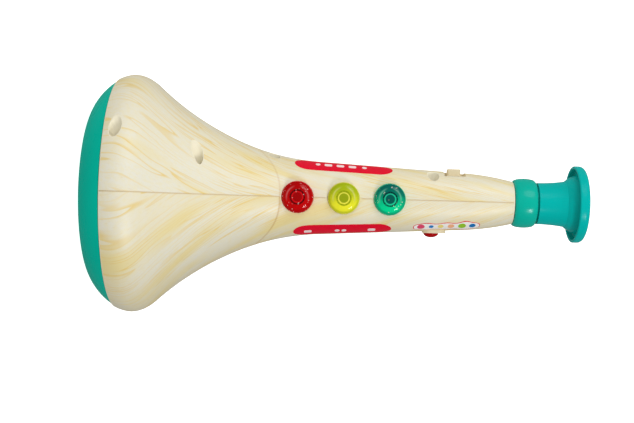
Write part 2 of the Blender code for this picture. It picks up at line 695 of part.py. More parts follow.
def make_bell_rim():
    """The rolled lip, the flat ring that it stands on, and the funnel that leads to the speaker."""
    skirt_outer = flare_radius(SHELL_LOW) - WALL - SEAT_GAP
    skirt_inner = skirt_outer - RIM_SKIRT_WALL
    funnel = LIP_REST_INNER - THROAT_RADIUS
    funnel_centre = (LIP_REST_INNER, THROAT_HEIGHT)
    flange_top = THROAT_HEIGHT + WALL
    lip_start = math.asin(((LIP_ROUND - RIM_HEIGHT) / LIP_ROUND) ** (RIM_POWER / 2))
    inner_size = LIP_ROUND - WALL
    inner_share = (skirt_inner - BELL_RADIUS + LIP_ROUND) / inner_size
    inner_end = math.acos(inner_share ** (RIM_POWER / 2))
    profile = rim_lip(LIP_ROUND, lip_start, math.pi / 2, LIP_STEPS)
    profile += arc(funnel_centre, (funnel, THROAT_HEIGHT), -90, -180, FUNNEL_STEPS)
    profile += [(THROAT_RADIUS, flange_top), (SPEAKER_RADIUS, flange_top), (SPEAKER_RADIUS, THROAT_HEIGHT)]
    profile += arc(funnel_centre, (funnel - WALL, THROAT_HEIGHT - WALL), -180, -90, FUNNEL_STEPS - 2)
    profile += rim_lip(inner_size, math.pi / 2, inner_end, LIP_STEPS // 2)
    skirt_top = RIM_HEIGHT + RIM_SKIRT_HEIGHT
    profile += [(skirt_inner, skirt_top), (skirt_outer, skirt_top), (skirt_outer, RIM_HEIGHT)]
    rim = finish(turned("bell_rim", profile, BODY_SEGMENTS), TEAL, 0.3)
    for tool in speaker_screw_holes(THROAT_HEIGHT, "rim"):
        cut(rim, tool)


def speaker_screw_circle():
    radius = SPEAKER_RADIUS - SPEAKER_RIM_WIDTH / 2
    turns = [math.pi / 2 + 2 * math.pi * i / SPEAKER_SCREWS for i in range(SPEAKER_SCREWS)]
    return [(radius * math.cos(t), radius * math.sin(t)) for t in turns]


def speaker_screw_holes(z, name):
    """Cutters through a sheet whose lower face is at z."""
    radius = SPEAKER_SCREW_RADIUS + SEAT_GAP
    return [
        prism(f"{name}_screw_hole_{i}", circle(radius, place, SMALL_SEGMENTS), z - OVERSHOOT / 2, z + OVERSHOOT)
        for i, place in enumerate(speaker_screw_circle())
    ]


def make_speaker():
    grille_high = GRILLE_LOW + GRILLE_SHEET
    grille = prism("speaker_grille", circle(SPEAKER_RADIUS, segments=BODY_SEGMENTS), GRILLE_LOW, grille_high)
    for ring in range(GRILLE_RINGS + 1):
        count = max(1, 6 * ring)
        for i in range(count):
            turn = 2 * math.pi * (i + GRILLE_TWIST * ring) / count
            place = (ring * GRILLE_RING_STEP * math.cos(turn), ring * GRILLE_RING_STEP * math.sin(turn))
            hole = circle(GRILLE_HOLE_RADIUS, place, SMALL_SEGMENTS)
            cut(grille, prism(f"grille_hole_{ring}_{i}", hole, GRILLE_LOW - OVERSHOOT, grille_high + OVERSHOOT))
    finish(grille, TEAL, 0.35)
    rim_high = SPEAKER_LOW + SPEAKER_RIM
    basket_top = SPEAKER_RADIUS - SPEAKER_RIM_WIDTH
    cone_seat = basket_top - BASKET_WALL - 2 * SEAT_GAP
    back = SPEAKER_LOW + BASKET_DEPTH
    frame = turned("speaker_frame", [
        (SPEAKER_RADIUS, SPEAKER_LOW), (SPEAKER_RADIUS, rim_high), (basket_top, rim_high),
        (BASKET_BACK_RADIUS, back - BASKET_WALL), (BASKET_BACK_RADIUS, back), (COIL_RADIUS, back),
        (COIL_RADIUS, back - BASKET_WALL), (BASKET_BACK_RADIUS - BASKET_WALL, back - BASKET_WALL),
        (cone_seat, rim_high + SEAT_GAP), (cone_seat, SPEAKER_LOW),
    ])
    finish(frame, STEEL, 0.4, 1.0)
    for tool in speaker_screw_holes(GRILLE_LOW, "grille"):
        cut(grille, tool)
        cut(frame, tool)
    edge = cone_seat - SEAT_GAP
    front = SPEAKER_LOW + SEAT_GAP
    surround = edge - SURROUND_WIDTH
    coil_z = SPEAKER_LOW + COIL_DEPTH
    cone = turned("speaker_cone", [
        (0, coil_z - 2 * CONE_SHEET), (COIL_RADIUS, coil_z), (surround, front + CONE_SHEET), (edge, front),
        (edge, front + CONE_SHEET), (surround, front + 2 * CONE_SHEET), (COIL_RADIUS, coil_z + CONE_SHEET),
        (0, coil_z - CONE_SHEET),
    ])
    finish(cone, BLACK, 0.8)
    magnet_low = back + SEAT_GAP
    magnet = prism("speaker_magnet", circle(MAGNET_RADIUS, segments=ROUND_SEGMENTS), magnet_low,
                   magnet_low + MAGNET_HEIGHT)
    finish(magnet, (60, 60, 64), 0.5, 0.6)
    seat = rim_high + SEAT_GAP
    for i, (x, y) in enumerate(speaker_screw_circle()):
        screw = turned(f"speaker_screw_{i + 1}", [
            (0, THROAT_HEIGHT), (SPEAKER_SCREW_RADIUS, THROAT_HEIGHT), (SPEAKER_SCREW_RADIUS, seat),
            (SPEAKER_SCREW_HEAD, seat), (SPEAKER_SCREW_HEAD, seat + SPEAKER_SCREW_HEAD_HEIGHT),
            (0, seat + SPEAKER_SCREW_HEAD_HEIGHT),
        ], SMALL_SEGMENTS)
        screw.location = (x, y, 0)
        finish(screw, STEEL, 0.35, 1.0)


# Collar, mouthpiece and microphone

def make_collar():
    bore = SPIGOT_RADIUS + SEAT_GAP
    middle = (COLLAR_LOW + COLLAR_HIGH) / 2
    bulge = arc((COLLAR_EDGE, middle), (COLLAR_CROWN - COLLAR_EDGE, COLLAR_LENGTH / 2), -90, 90, LIP_STEPS)
    collar = turned("collar", [(bore, COLLAR_LOW), *bulge, (bore, COLLAR_HIGH)], MOUTH_SEGMENTS)
    finish(collar, (0, 180, 155), 0.25)


def make_mouthpiece():
    """A tube that flares into a flange, whose edge is rolled back over a groove, with a cup inside."""
    bore = SPIGOT_BORE
    groove_inner = FLANGE_RADIUS - FLANGE_WALL - GROOVE_WIDTH
    groove_top = MOUTH_END - FLANGE_WIDTH + GROOVE_DEPTH
    tube_low = MOUTH_LOW + MOUTH_STEP
    flange_back = MOUTH_END - FLANGE_WIDTH
    flare_size = (groove_inner - MOUTH_TUBE_RADIUS, groove_top - tube_low)
    flare = arc((groove_inner, tube_low), flare_size, 180, 90, DOME_STEPS)
    corner = FLANGE_RADIUS - FLANGE_ROUND
    profile = [(bore, MOUTH_LOW), (MOUTH_STEP_RADIUS, MOUTH_LOW), (MOUTH_STEP_RADIUS, tube_low)]
    profile += flare
    profile += [(FLANGE_RADIUS - FLANGE_WALL, groove_top), (FLANGE_RADIUS - FLANGE_WALL, flange_back),
                (FLANGE_RADIUS - FLANGE_WALL / 3, flange_back), (FLANGE_RADIUS, flange_back + FLANGE_WALL / 3)]
    profile += arc((corner, MOUTH_END - FLANGE_ROUND), (FLANGE_ROUND, FLANGE_ROUND), 0, 90, CORNER_STEPS)
    profile += arc((bore, MOUTH_END), (CUP_RADIUS - bore, CUP_DEPTH), 0, -90, DOME_STEPS)
    mouthpiece = turned("mouthpiece", profile, MOUTH_SEGMENTS)
    finish(mouthpiece, (0, 170, 165), 0.28)


def make_breath_tube():
    """A sleeve pressed into the mouthpiece, which leads the breath through the body's spigot."""
    outer = SPIGOT_BORE - SEAT_GAP
    low = MOUTH_LOW - BREATH_TUBE_PLUG
    high = low + BREATH_TUBE_LENGTH
    bore = BREATH_TUBE_BORE
    tube = turned("breath_tube", [(bore, low), (outer, low), (outer, high), (bore, high)])
    finish(tube, (0, 150, 145), 0.3)


def make_microphone():
    low = MIC_RIB_Z + (MIC_RIB_THICK - MIC_LENGTH) / 2
    can = turned("microphone", [
        (0, low), (MIC_RADIUS, low), (MIC_RADIUS, low + MIC_LENGTH), (MIC_FACE_RADIUS, low + MIC_LENGTH),
        (MIC_FACE_RADIUS, low + MIC_LENGTH - MIC_FACE_DEPTH), (0, low + MIC_LENGTH - MIC_FACE_DEPTH),
    ], HOLE_SEGMENTS)
    finish(can, STEEL, 0.4, 1.0)


# Push buttons with their springs, lamps and contacts

def spring_path(low, high):
    """A helix about the z axis whose two ends run straight along the axis for one wire's width."""
    turns = np.linspace(0, 2 * math.pi * SPRING_COILS, SPRING_COILS * POINTS_PER_COIL + 1)
    rise = np.linspace(low + SPRING_WIRE, high - SPRING_WIRE, len(turns))
    path = np.column_stack([SPRING_RADIUS * np.cos(turns), SPRING_RADIUS * np.sin(turns), rise])
    return np.vstack([path[0] - (0, 0, SPRING_WIRE), path, path[-1] + (0, 0, SPRING_WIRE)])


def least_gap(path):
    """Closest approach of the wire to another coil of itself, measured on the path's points."""
    apart = np.linalg.norm(path[:, None] - path[None], axis=2)
    steps = np.abs(np.subtract.outer(np.arange(len(path)), np.arange(len(path))))
    return apart[steps > POINTS_PER_COIL // 2].min() - SPRING_WIRE


def make_spring(name, low, high):
    path = spring_path(low, high)
    print(f"{name}: least gap to itself {least_gap(path) / MM:.2f} mm")
    curve = bpy.data.curves.new(name, "CURVE")
    curve.dimensions = "3D"
    curve.bevel_depth = SPRING_WIRE / 2
    curve.bevel_resolution = 1
    curve.use_fill_caps = True
    wire = curve.splines.new("POLY")
    wire.points.add(len(path) - 1)
    for point, place in zip(wire.points, path):
        point.co = (*place, 1)
    spring = bpy.data.objects.new(name, curve)
    bpy.context.collection.objects.link(spring)
    return finish(spring, STEEL, 0.3, 1.0)


def make_button(colour_name, colour, z):
    axis = axis_empty(f"{colour_name}_button_axis", (0, 0, z), FACING_FRONT)
    top = front_reach(z) + BUTTON_RISE
    ledge_top = ledge_height(z, LEDGE_RADIUS, FRONT)
    ledge_low = ledge_top - LEDGE_THICK
    under = top - BUTTON_TOP
    contact_low = BOARD_FRONT + SEAT_GAP + BUTTON_TRAVEL
    stem_end = contact_low + CONTACT_THICK + SEAT_GAP
    inner = BUTTON_RADIUS - BUTTON_WALL
    dome = []
    for t in np.linspace(math.pi / 2, 0, DOME_STEPS + 1):
        reach = BUTTON_RADIUS * abs(math.cos(t)) ** (2 / BUTTON_DOME_POWER)
        dome.append((reach, top - BUTTON_DOME + BUTTON_DOME * math.sin(t) ** (2 / BUTTON_DOME_POWER)))
    dome[0] = (0, top)
    button = turned(f"{colour_name}_button", [
        *dome, (BUTTON_RADIUS, ledge_top), (LEDGE_RADIUS, ledge_top), (LEDGE_RADIUS, ledge_low),
        (inner, ledge_low), (inner, under), (STEM_RADIUS, under), (STEM_RADIUS, stem_end),
        (STEM_BORE, stem_end), (STEM_BORE, top - STEM_ROOF), (0, top - STEM_ROOF),
    ])
    finish(on(axis, button), colour, 0.12, transmission=0.6)
    contact = turned(f"{colour_name}_contact", [
        (STEM_BORE, contact_low), (STEM_RADIUS, contact_low), (STEM_RADIUS, contact_low + CONTACT_THICK),
        (STEM_BORE, contact_low + CONTACT_THICK),
    ], HOLE_SEGMENTS)
    finish(on(axis, contact), BLACK, 0.8)
    led_low = BOARD_FRONT + SEAT_GAP
    led_tip = led_low + LED_HEIGHT
    led_dome = arc((0, led_tip - LED_RADIUS), (LED_RADIUS, LED_RADIUS), 0, 90, CORNER_STEPS)[:-1]
    led_profile = [(0, led_low), (LED_RADIUS, led_low), *led_dome, (0, led_tip)]
    led = turned(f"{colour_name}_led", led_profile, HOLE_SEGMENTS)
    finish(on(axis, led), (235, 240, 240), 0.15, transmission=0.5)
    on(axis, make_spring(f"{colour_name}_spring", BOARD_FRONT + SEAT_GAP, under - SEAT_GAP))


# Circuit board and batteries

def make_board():
    outline = rectangle(2 * BOARD_HALF, BOARD_HIGH - BOARD_LOW, centre=(0, (BOARD_LOW + BOARD_HIGH) / 2))
    finish(prism("circuit_board", outline, -BOARD_FRONT, -BOARD_BACK, "y"), (30, 110, 60), 0.45)
    low = BOARD_FRONT + SEAT_GAP
    blob = arc((0, low), (CHIP_RADIUS, CHIP_HEIGHT), 0, 90, CORNER_STEPS)[:-1]
    chip = turned("sound_chip", [(0, low), *blob, (0, low + CHIP_HEIGHT)], HOLE_SEGMENTS)
    chip.location.z = BOARD_HIGH - CHIP_RADIUS - BOARD_MARGIN
    chip.rotation_euler = FACING_FRONT
    finish(chip, BLACK, 0.4)


def make_battery_tray():
    middle = (TRAY_LOW + TRAY_HIGH) / 2
    tray = prism("battery_tray", rectangle(2 * TRAY_HALF, TRAY_HIGH - TRAY_LOW, TRAY_WALL / 2, (0, middle)),
                 TRAY_FRONT, TRAY_BACK, "y")
    pocket = rectangle(2 * POCKET_HALF, POCKET_HIGH - POCKET_LOW, centre=(0, (POCKET_LOW + POCKET_HIGH) / 2))
    cut(tray, prism("cell_pocket", pocket, TRAY_FRONT + TRAY_FLOOR, TRAY_BACK + OVERSHOOT, "y"))
    boss_top = front_reach(DOOR_SCREW_Z) - DOOR_THICK - SEAT_GAP
    boss = circle(DOOR_SCREW_HEAD, (0, DOOR_SCREW_Z))
    join(tray, prism("door_boss", boss, TRAY_FRONT + TRAY_FLOOR, boss_top, "y"))
    hole = circle(DOOR_SCREW_RADIUS + SEAT_GAP, (0, DOOR_SCREW_Z), SMALL_SEGMENTS)
    seat = front_reach(DOOR_SCREW_Z) - DOOR_SCREW_HEAD_HEIGHT
    cut(tray, prism("boss_hole", hole, seat - DOOR_SCREW_LENGTH - SEAT_GAP, boss_top + OVERSHOOT, "y"))
    finish(tray, (225, 225, 220), 0.5)


def make_cells():
    """Two cells lying head to tail."""
    nub_base = CELL_LENGTH - CELL_NUB_HEIGHT
    profile = [(0, 0), (CELL_RADIUS, 0), (CELL_RADIUS, nub_base), (CELL_NUB_RADIUS, nub_base),
               (CELL_NUB_RADIUS, CELL_LENGTH), (0, CELL_LENGTH)]
    low = POCKET_LOW + CONTACT_SPACE
    for i, (side, base, turn) in enumerate(((-1, low, 0), (1, low + CELL_LENGTH, math.pi))):
        cell = turned(f"battery_cell_{i + 1}", profile)
        cell.location = (side * CELL_X, CELL_Y, base)
        cell.rotation_euler.x = turn
        finish(cell, (70, 72, 78), 0.35, 0.4)


def make_contact(name, x_low, x_high, z, into, bumps):
    """A sheet against the end of the tray, with a raised bump for each cell that it touches."""
    width = x_high - x_low - SEAT_GAP
    sheet_low = z + into * SEAT_GAP
    sheet_high = sheet_low + into * CONTACT_SHEET
    outline = rectangle(width, CONTACT_HEIGHT, centre=((x_low + x_high) / 2, CELL_Y))
    sheet = prism(name, outline, *sorted((sheet_low, sheet_high)))
    tip = z + into * (CONTACT_SPACE - SEAT_GAP)
    for i, (x, base, crown) in enumerate(bumps):
        bump = turned(f"{name}_bump_{i}", [
            (0, sheet_low + into * CONTACT_SHEET / 2), (base, sheet_low + into * CONTACT_SHEET / 2),
            (crown, tip), (0, tip),
        ], HOLE_SEGMENTS)
        bump.location = (x, CELL_Y, 0)
        join(sheet, bump)
    finish(sheet, (190, 190, 185), 0.3, 1.0)


def make_contacts():
    half = POCKET_HALF - SEAT_GAP
    make_contact("contact_bridge", -half, half, POCKET_LOW, 1, ((-CELL_X, *SPRING_BUMP), (CELL_X, *FLAT_BUMP)))
    make_contact("contact_plus", -half, -SEAT_GAP, POCKET_HIGH, -1, ((-CELL_X, *FLAT_BUMP),))
    make_contact("contact_minus", SEAT_GAP, half, POCKET_HIGH, -1, ((CELL_X, *SPRING_BUMP),))


def make_battery_door():
    """A patch of the body's own surface, let into its back, with one screw."""
    outline = rectangle(2 * (DOOR_HALF_WIDTH - SEAT_GAP), DOOR_HIGH - DOOR_LOW - 2 * SEAT_GAP,
                        DOOR_CORNER - SEAT_GAP, (0, (DOOR_LOW + DOOR_HIGH) / 2))
    door = prism("battery_door", outline, TRAY_BACK, BELL_RADIUS, "y")
    combine(door, body_form("door_outside", 0), "INTERSECT")
    cut(door, body_form("door_inside", DOOR_THICK))
    seat = front_reach(DOOR_SCREW_Z) - DOOR_SCREW_HEAD_HEIGHT
    hole = circle(DOOR_SCREW_RADIUS + SEAT_GAP, (0, DOOR_SCREW_Z), SMALL_SEGMENTS)
    cut(door, prism("door_screw_hole", hole, TRAY_BACK, BELL_RADIUS, "y"))
    recess = circle(DOOR_SCREW_HEAD + SEAT_GAP, (0, DOOR_SCREW_Z))
    cut(door, prism("door_screw_recess", recess, seat - SEAT_GAP, BELL_RADIUS, "y"))
    finish(door, WOOD_PRINT, 0.38)
    tip = seat - DOOR_SCREW_LENGTH
    screw = turned("door_screw", [
        (0, tip), (DOOR_SCREW_RADIUS, tip), (DOOR_SCREW_RADIUS, seat), (DOOR_SCREW_HEAD, seat),
        (DOOR_SCREW_HEAD, seat + DOOR_SCREW_HEAD_HEIGHT / 2), (0, seat + DOOR_SCREW_HEAD_HEIGHT),
    ], HOLE_SEGMENTS)
    screw.location.z = DOOR_SCREW_Z
    screw.rotation_euler.x = -math.pi / 2
    finish(screw, STEEL, 0.35, 1.0)


# Slide switch and side button

def make_slide_switch():
    """Along local x the knob slides, and local z points out of the body."""
    axis = axis_empty("switch_axis", (0, 0, SWITCH_Z), FACING_LEFT)
    knob_low = SWITCH_FLOOR + SLIDE_GAP
    knob = prism("switch_knob", rectangle(KNOB_LENGTH, KNOB_WIDTH, KNOB_CORNER), knob_low, KNOB_TOP)
    stem_outline = rectangle(KNOB_STEM_LENGTH, KNOB_STEM_WIDTH)
    stem = prism("knob_stem", stem_outline, KNOB_STEM_END, knob_low + KNOB_CORNER)
    join(knob, on(axis, stem))
    socket_top = KNOB_STEM_END + LEVER_GRIP + SEAT_GAP
    socket = prism("lever_socket", rectangle(LEVER_LENGTH + 2 * SEAT_GAP, LEVER_WIDTH + 2 * SEAT_GAP),
                   KNOB_STEM_END - OVERSHOOT, socket_top)
    cut(knob, on(axis, socket))
    finish(on(axis, knob), (205, 165, 115), 0.42)
    lever = prism("switch_lever", rectangle(LEVER_LENGTH, LEVER_WIDTH), SWITCH_TOP - LEVER_ROOT,
                  KNOB_STEM_END + LEVER_GRIP)
    finish(on(axis, lever), BLACK, 0.5)
    switch = prism("slide_switch", rectangle(SWITCH_LENGTH, SWITCH_WIDTH), SWITCH_BOTTOM, SWITCH_TOP)
    slot_length = LEVER_LENGTH + 2 * SWITCH_TRAVEL + 2 * SLIDE_GAP
    slot = prism("lever_slot", rectangle(slot_length, LEVER_WIDTH + 2 * SLIDE_GAP),
                 SWITCH_TOP - LEVER_ROOT - SLIDE_GAP, SWITCH_TOP + OVERSHOOT)
    cut(switch, on(axis, slot))
    finish(on(axis, switch), (150, 150, 150), 0.4, 0.8)


def make_side_button():
    axis = axis_empty("side_button_axis", (0, 0, SIDE_Z), FACING_RIGHT)
    dome = arc((0, PLINTH_FACE), (SIDE_RADIUS, SIDE_RISE), 90, 0, DOME_STEPS)[1:]
    button = turned("side_button", [
        (0, PLINTH_FACE + SIDE_RISE), *dome, (SIDE_RADIUS, SIDE_LEDGE_TOP), (SIDE_LEDGE_RADIUS, SIDE_LEDGE_TOP),
        (SIDE_LEDGE_RADIUS, SIDE_LEDGE_LOW), (SIDE_NUB_RADIUS, SIDE_LEDGE_LOW), (SIDE_NUB_RADIUS, SIDE_NUB_END),
        (0, SIDE_NUB_END),
    ])
    finish(on(axis, button), (215, 30, 40), 0.15)
    plunger_low = TACT_TOP - PLUNGER_ROOT
    plunger = prism("tact_plunger", circle(PLUNGER_RADIUS), plunger_low, PLUNGER_TOP)
    finish(on(axis, plunger), BLACK, 0.5)
    tact = prism("tact_switch", rectangle(2 * TACT_HALF, 2 * TACT_HALF), TACT_LOW, TACT_TOP)
    bore = prism("plunger_bore", circle(PLUNGER_RADIUS + SLIDE_GAP), plunger_low - SIDE_TRAVEL - SEAT_GAP,
                 TACT_TOP + OVERSHOOT)
    cut(tact, on(axis, bore))
    finish(on(axis, tact), (150, 150, 150), 0.4, 0.8)


make_shells()
make_screws()
make_bell_rim()
make_speaker()
make_collar()
make_mouthpiece()
make_breath_tube()
make_microphone()
make_button("red", (226, 35, 50), BUTTON_Z[0])
make_button("yellow", (205, 215, 50), BUTTON_Z[1])
make_button("green", (30, 165, 110), BUTTON_Z[2])
make_board()
make_battery_tray()
make_cells()
make_contacts()
make_battery_door()
make_slide_switch()
make_side_button()
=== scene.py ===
"""Looks of a toy trumpet that stands on its bell, with its buttons towards -Y and its mouthpiece up.

Every shape here is a surface worked out on a grid. The moulded body is a flare and a neck, whichever stands
out further, and the pieces on it are rings or patches laid on that surface.
"""

import math

import bmesh
import bpy
import numpy as np
from mathutils import Matrix, Vector


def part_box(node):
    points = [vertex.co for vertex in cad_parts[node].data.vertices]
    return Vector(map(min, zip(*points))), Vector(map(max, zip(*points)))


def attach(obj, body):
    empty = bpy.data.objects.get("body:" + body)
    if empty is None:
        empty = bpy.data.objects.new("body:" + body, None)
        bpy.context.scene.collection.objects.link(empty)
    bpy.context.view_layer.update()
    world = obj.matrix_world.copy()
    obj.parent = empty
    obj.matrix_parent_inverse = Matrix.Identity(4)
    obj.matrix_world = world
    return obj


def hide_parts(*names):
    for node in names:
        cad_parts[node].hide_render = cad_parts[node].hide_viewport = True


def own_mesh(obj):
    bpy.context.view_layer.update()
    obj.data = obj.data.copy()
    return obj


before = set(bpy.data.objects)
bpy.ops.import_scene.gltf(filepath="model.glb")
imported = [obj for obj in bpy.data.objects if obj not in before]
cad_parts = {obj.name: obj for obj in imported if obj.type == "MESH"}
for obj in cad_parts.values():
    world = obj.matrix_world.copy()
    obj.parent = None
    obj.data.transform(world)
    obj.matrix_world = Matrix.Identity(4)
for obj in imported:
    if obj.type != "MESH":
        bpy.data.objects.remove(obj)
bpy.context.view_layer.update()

MM = 0.001
GAP = 0.3 * MM

# Body, in the same sizes as the solids
BELL_RADIUS = 69.6 * MM
LIP_ROUND = 24 * MM
LIP_POWER = 1.75
RIM_POWER = 1.62
LIP_REST_INNER = 42 * MM
RIM_HEIGHT = 14.8 * MM
SHOULDER_LENGTH = 14 * MM
SHOULDER_DROP = 6.5 * MM
FLARE_ROOT = 5 * MM
FLARE_DECAY = 63 * MM
NECK_START = 132 * MM
NECK_START_HALF = 21.45 * MM
NECK_FLARE = 6.5 * MM
NECK_FLARE_LENGTH = 42 * MM
NECK_FLATTEN = 0.9 * MM
NECK_POWER = 2.25
CREASE_POWER = 1.97
CREASE_LOW, CREASE_END = 90 * MM, 110 * MM
GRIP_START = 126 * MM
TAIL_START = 218 * MM
TAIL_START_HALF = 16.75 * MM
TAIL_LENGTH = 28.2 * MM
TAIL_DROP = 2.7 * MM
WALL = 2.4 * MM
SHELL_LOW = RIM_HEIGHT + GAP
BODY_END = TAIL_START + TAIL_LENGTH
CREASE_ROUND = 0.35 * MM

# Collar and mouthpiece
SPIGOT_RADIUS = 10.2 * MM
SPIGOT_BORE = 7.6 * MM
COLLAR_LOW = BODY_END + GAP
COLLAR_HIGH = COLLAR_LOW + 12.9 * MM
COLLAR_CROWN = 14.5 * MM
COLLAR_EDGE = 13.1 * MM
MOUTH_LOW = COLLAR_HIGH + GAP
MOUTH_END = MOUTH_LOW + 28.2 * MM
MOUTH_STEP = 0.9 * MM
MOUTH_STEP_RADIUS = 10.4 * MM
MOUTH_TUBE_RADIUS = 12.2 * MM
CUP_RADIUS = 17.6 * MM
CUP_DEPTH = 13.5 * MM
FLANGE_RADIUS = 22.6 * MM
FLANGE_WIDTH = 5.7 * MM
FLANGE_WALL = 1.9 * MM
FLANGE_ROUND = 2.3 * MM
GROOVE_WIDTH = 3.2 * MM
GROOVE_DEPTH = 3.3 * MM

# Buttons, switch and screws
BUTTON_Z = {"red": 120 * MM, "yellow": 146.5 * MM, "green": 173 * MM}
BUTTON_RADIUS = 9.15 * MM
DOME_POWER = 2.4
DOME_HEIGHT = 3.8 * MM
LEDGE_RADIUS = 10.4 * MM
STEM_RADIUS, STEM_BORE = 3.2 * MM, 2.3 * MM
BOARD_FRONT = 5 * MM
SPRING_RADIUS = 3.95 * MM
SPRING_WIRE = 0.6 * MM
SPRING_COILS = 5
SWITCH_Z = 211.4 * MM
SWITCH_DEPTH = 2.6 * MM
SIDE_Z = 198.9 * MM
SIDE_RADIUS = 4.45 * MM
PLINTH_RISE = 1.2 * MM
PLINTH_MIDDLE = SIDE_Z + 1.6 * MM
SCREW_SEAT = 6 * MM
BELL_SCREW_Z, FLARE_SCREW_Z, TAIL_SCREW_Z = 22 * MM, 63.8 * MM, 198.5 * MM
MIDDLE_SCREW = (-7.6 * MM, 105.9 * MM)
RECESS_RADIUS = 3.35 * MM
POST_RADIUS = 4.5 * MM
DOOR_LOW, DOOR_HIGH = 118 * MM, 182.8 * MM
DOOR_MIDDLE = (DOOR_LOW + DOOR_HIGH) / 2
DOOR_HALF_WIDTH = 12.6 * MM
DOOR_SCREW_Z = 176.8 * MM


# The body's outside

def flare_radius(z):
    """Radius of the bell: the lip's superellipse, a cubic shoulder, then an exponential that thins out
    along the axis."""
    rise = (np.clip(LIP_ROUND - z, 0, LIP_ROUND) / LIP_ROUND) ** LIP_POWER
    lip = BELL_RADIUS - LIP_ROUND + LIP_ROUND * (1 - rise) ** (1 / LIP_POWER)
    start = LIP_ROUND + SHOULDER_LENGTH
    start_radius = BELL_RADIUS - SHOULDER_DROP
    slope = -(start_radius - FLARE_ROOT) / FLARE_DECAY
    t = np.clip((z - LIP_ROUND) / SHOULDER_LENGTH, 0, 1)
    shoulder = BELL_RADIUS - SHOULDER_DROP * (3 * t**2 - 2 * t**3) + slope * SHOULDER_LENGTH * (t**3 - t**2)
    tail = FLARE_ROOT + (start_radius - FLARE_ROOT) * np.exp(-(z - start) / FLARE_DECAY)
    return np.where(z < LIP_ROUND, lip, np.where(z < start, shoulder, tail))


def neck_radius(z, turn):
    """Superellipse section: half width from a straight taper with a parabola at each end, and a little
    less deep than wide."""
    taper = (TAIL_START_HALF - NECK_START_HALF) / (TAIL_START - NECK_START)
    before = np.clip((NECK_START - z) / NECK_FLARE_LENGTH, 0, 1)
    after = np.clip((z - TAIL_START) / TAIL_LENGTH, 0, 1)
    half = NECK_START_HALF + taper * (z - NECK_START) + NECK_FLARE * before**2 - TAIL_DROP * after**2
    deep = half - NECK_FLATTEN * (1 - after)
    t = np.clip((z - CREASE_END) / (GRIP_START - CREASE_END), 0, 1)
    power = CREASE_POWER + (NECK_POWER - CREASE_POWER) * (3 * t**2 - 2 * t**3) - (NECK_POWER - 2) * after
    return ((np.abs(np.sin(turn)) / half) ** power + (np.abs(np.cos(turn)) / deep) ** power) ** (-1 / power)


def body_radius(z, turn):
    """The larger of flare and neck, rounded where they cross; turn is 0 at the front and pi at the back."""
    flare, neck = flare_radius(z), neck_radius(z, turn)
    return (flare + neck + np.sqrt((flare - neck) ** 2 + CREASE_ROUND**2)) / 2


FACINGS = {"front": (0, -1), "back": (0, 1), "left": (-1, 0), "right": (1, 0)}
REACH_LIMIT = 90 * MM  # further out than any of the body
REACH_HALVINGS = 40


def placed(aside, out, z, facing):
    """Points at a distance out from the axis in one of four directions, aside of it, at height z."""
    way_x, way_y = FACINGS[facing]
    x = way_x * out + abs(way_y) * aside
    y = way_y * out + abs(way_x) * aside
    return np.stack(np.broadcast_arrays(x, y, z), -1)


def ring_at(flat, out, middle, facing):
    """A flat outline of (aside, along) points as a ring at a distance out from the axis, about a height."""
    aside, along = flat.T
    return placed(aside, out, middle + along, facing)


def reach(aside, z, facing):
    """How far out the body's surface is for points aside of the middle, found by halving a bracket."""
    low, high = np.zeros_like(aside * z), np.full_like(aside * z, REACH_LIMIT)
    for _ in range(REACH_HALVINGS):
        middle = (low + high) / 2
        x, y, _ = np.moveaxis(placed(aside, middle, z, facing), -1, 0)
        inside = np.hypot(aside, middle) < body_radius(z, np.arctan2(np.abs(x), -y))
        low, high = np.where(inside, middle, low), np.where(inside, high, middle)
    return low


def skin(z, facing):
    """How far out the body's surface is in the middle of one of its sides."""
    return float(reach(np.array(0.0), np.array(z), facing))


def seam_gap(z):
    """Half the gap between the halves: widest at the bell, thinning out along the body."""
    return 0.012 * MM + 0.06 * MM * np.exp(-(z - SHELL_LOW) / (6 * MM))


# Outlines and rings

def circle_outline(radius, count):
    """Outline that can grow: a circle of its radius plus the growth."""
    turns = np.linspace(0, 2 * np.pi, count, endpoint=False)
    return lambda grow: np.stack([(radius + grow) * np.cos(turns), (radius + grow) * np.sin(turns)], -1)


def block_outline(width, length, corner, steps=8):
    """Outline that can grow: a rectangle whose corners are quarter circles of the corner plus the growth."""
    quarter = np.linspace(0, np.pi / 2, steps + 1)
    turns = np.concatenate([quarter + k * np.pi / 2 for k in range(4)])
    side = np.repeat([[1, 1], [-1, 1], [-1, -1], [1, -1]], steps + 1, axis=0)
    middle = side * [width / 2 - corner, length / 2 - corner]
    return lambda grow: middle + (corner + grow) * np.stack([np.cos(turns), np.sin(turns)], -1)


def evenly(points, count):
    """The same closed outline with points at even distances."""
    loop = np.vstack([points, points[:1]])
    along = np.concatenate([[0], np.cumsum(np.linalg.norm(np.diff(loop, axis=0), axis=1))])
    spots = np.linspace(0, along[-1], count, endpoint=False)
    return np.stack([np.interp(spots, along, loop[:, k]) for k in range(2)], -1)


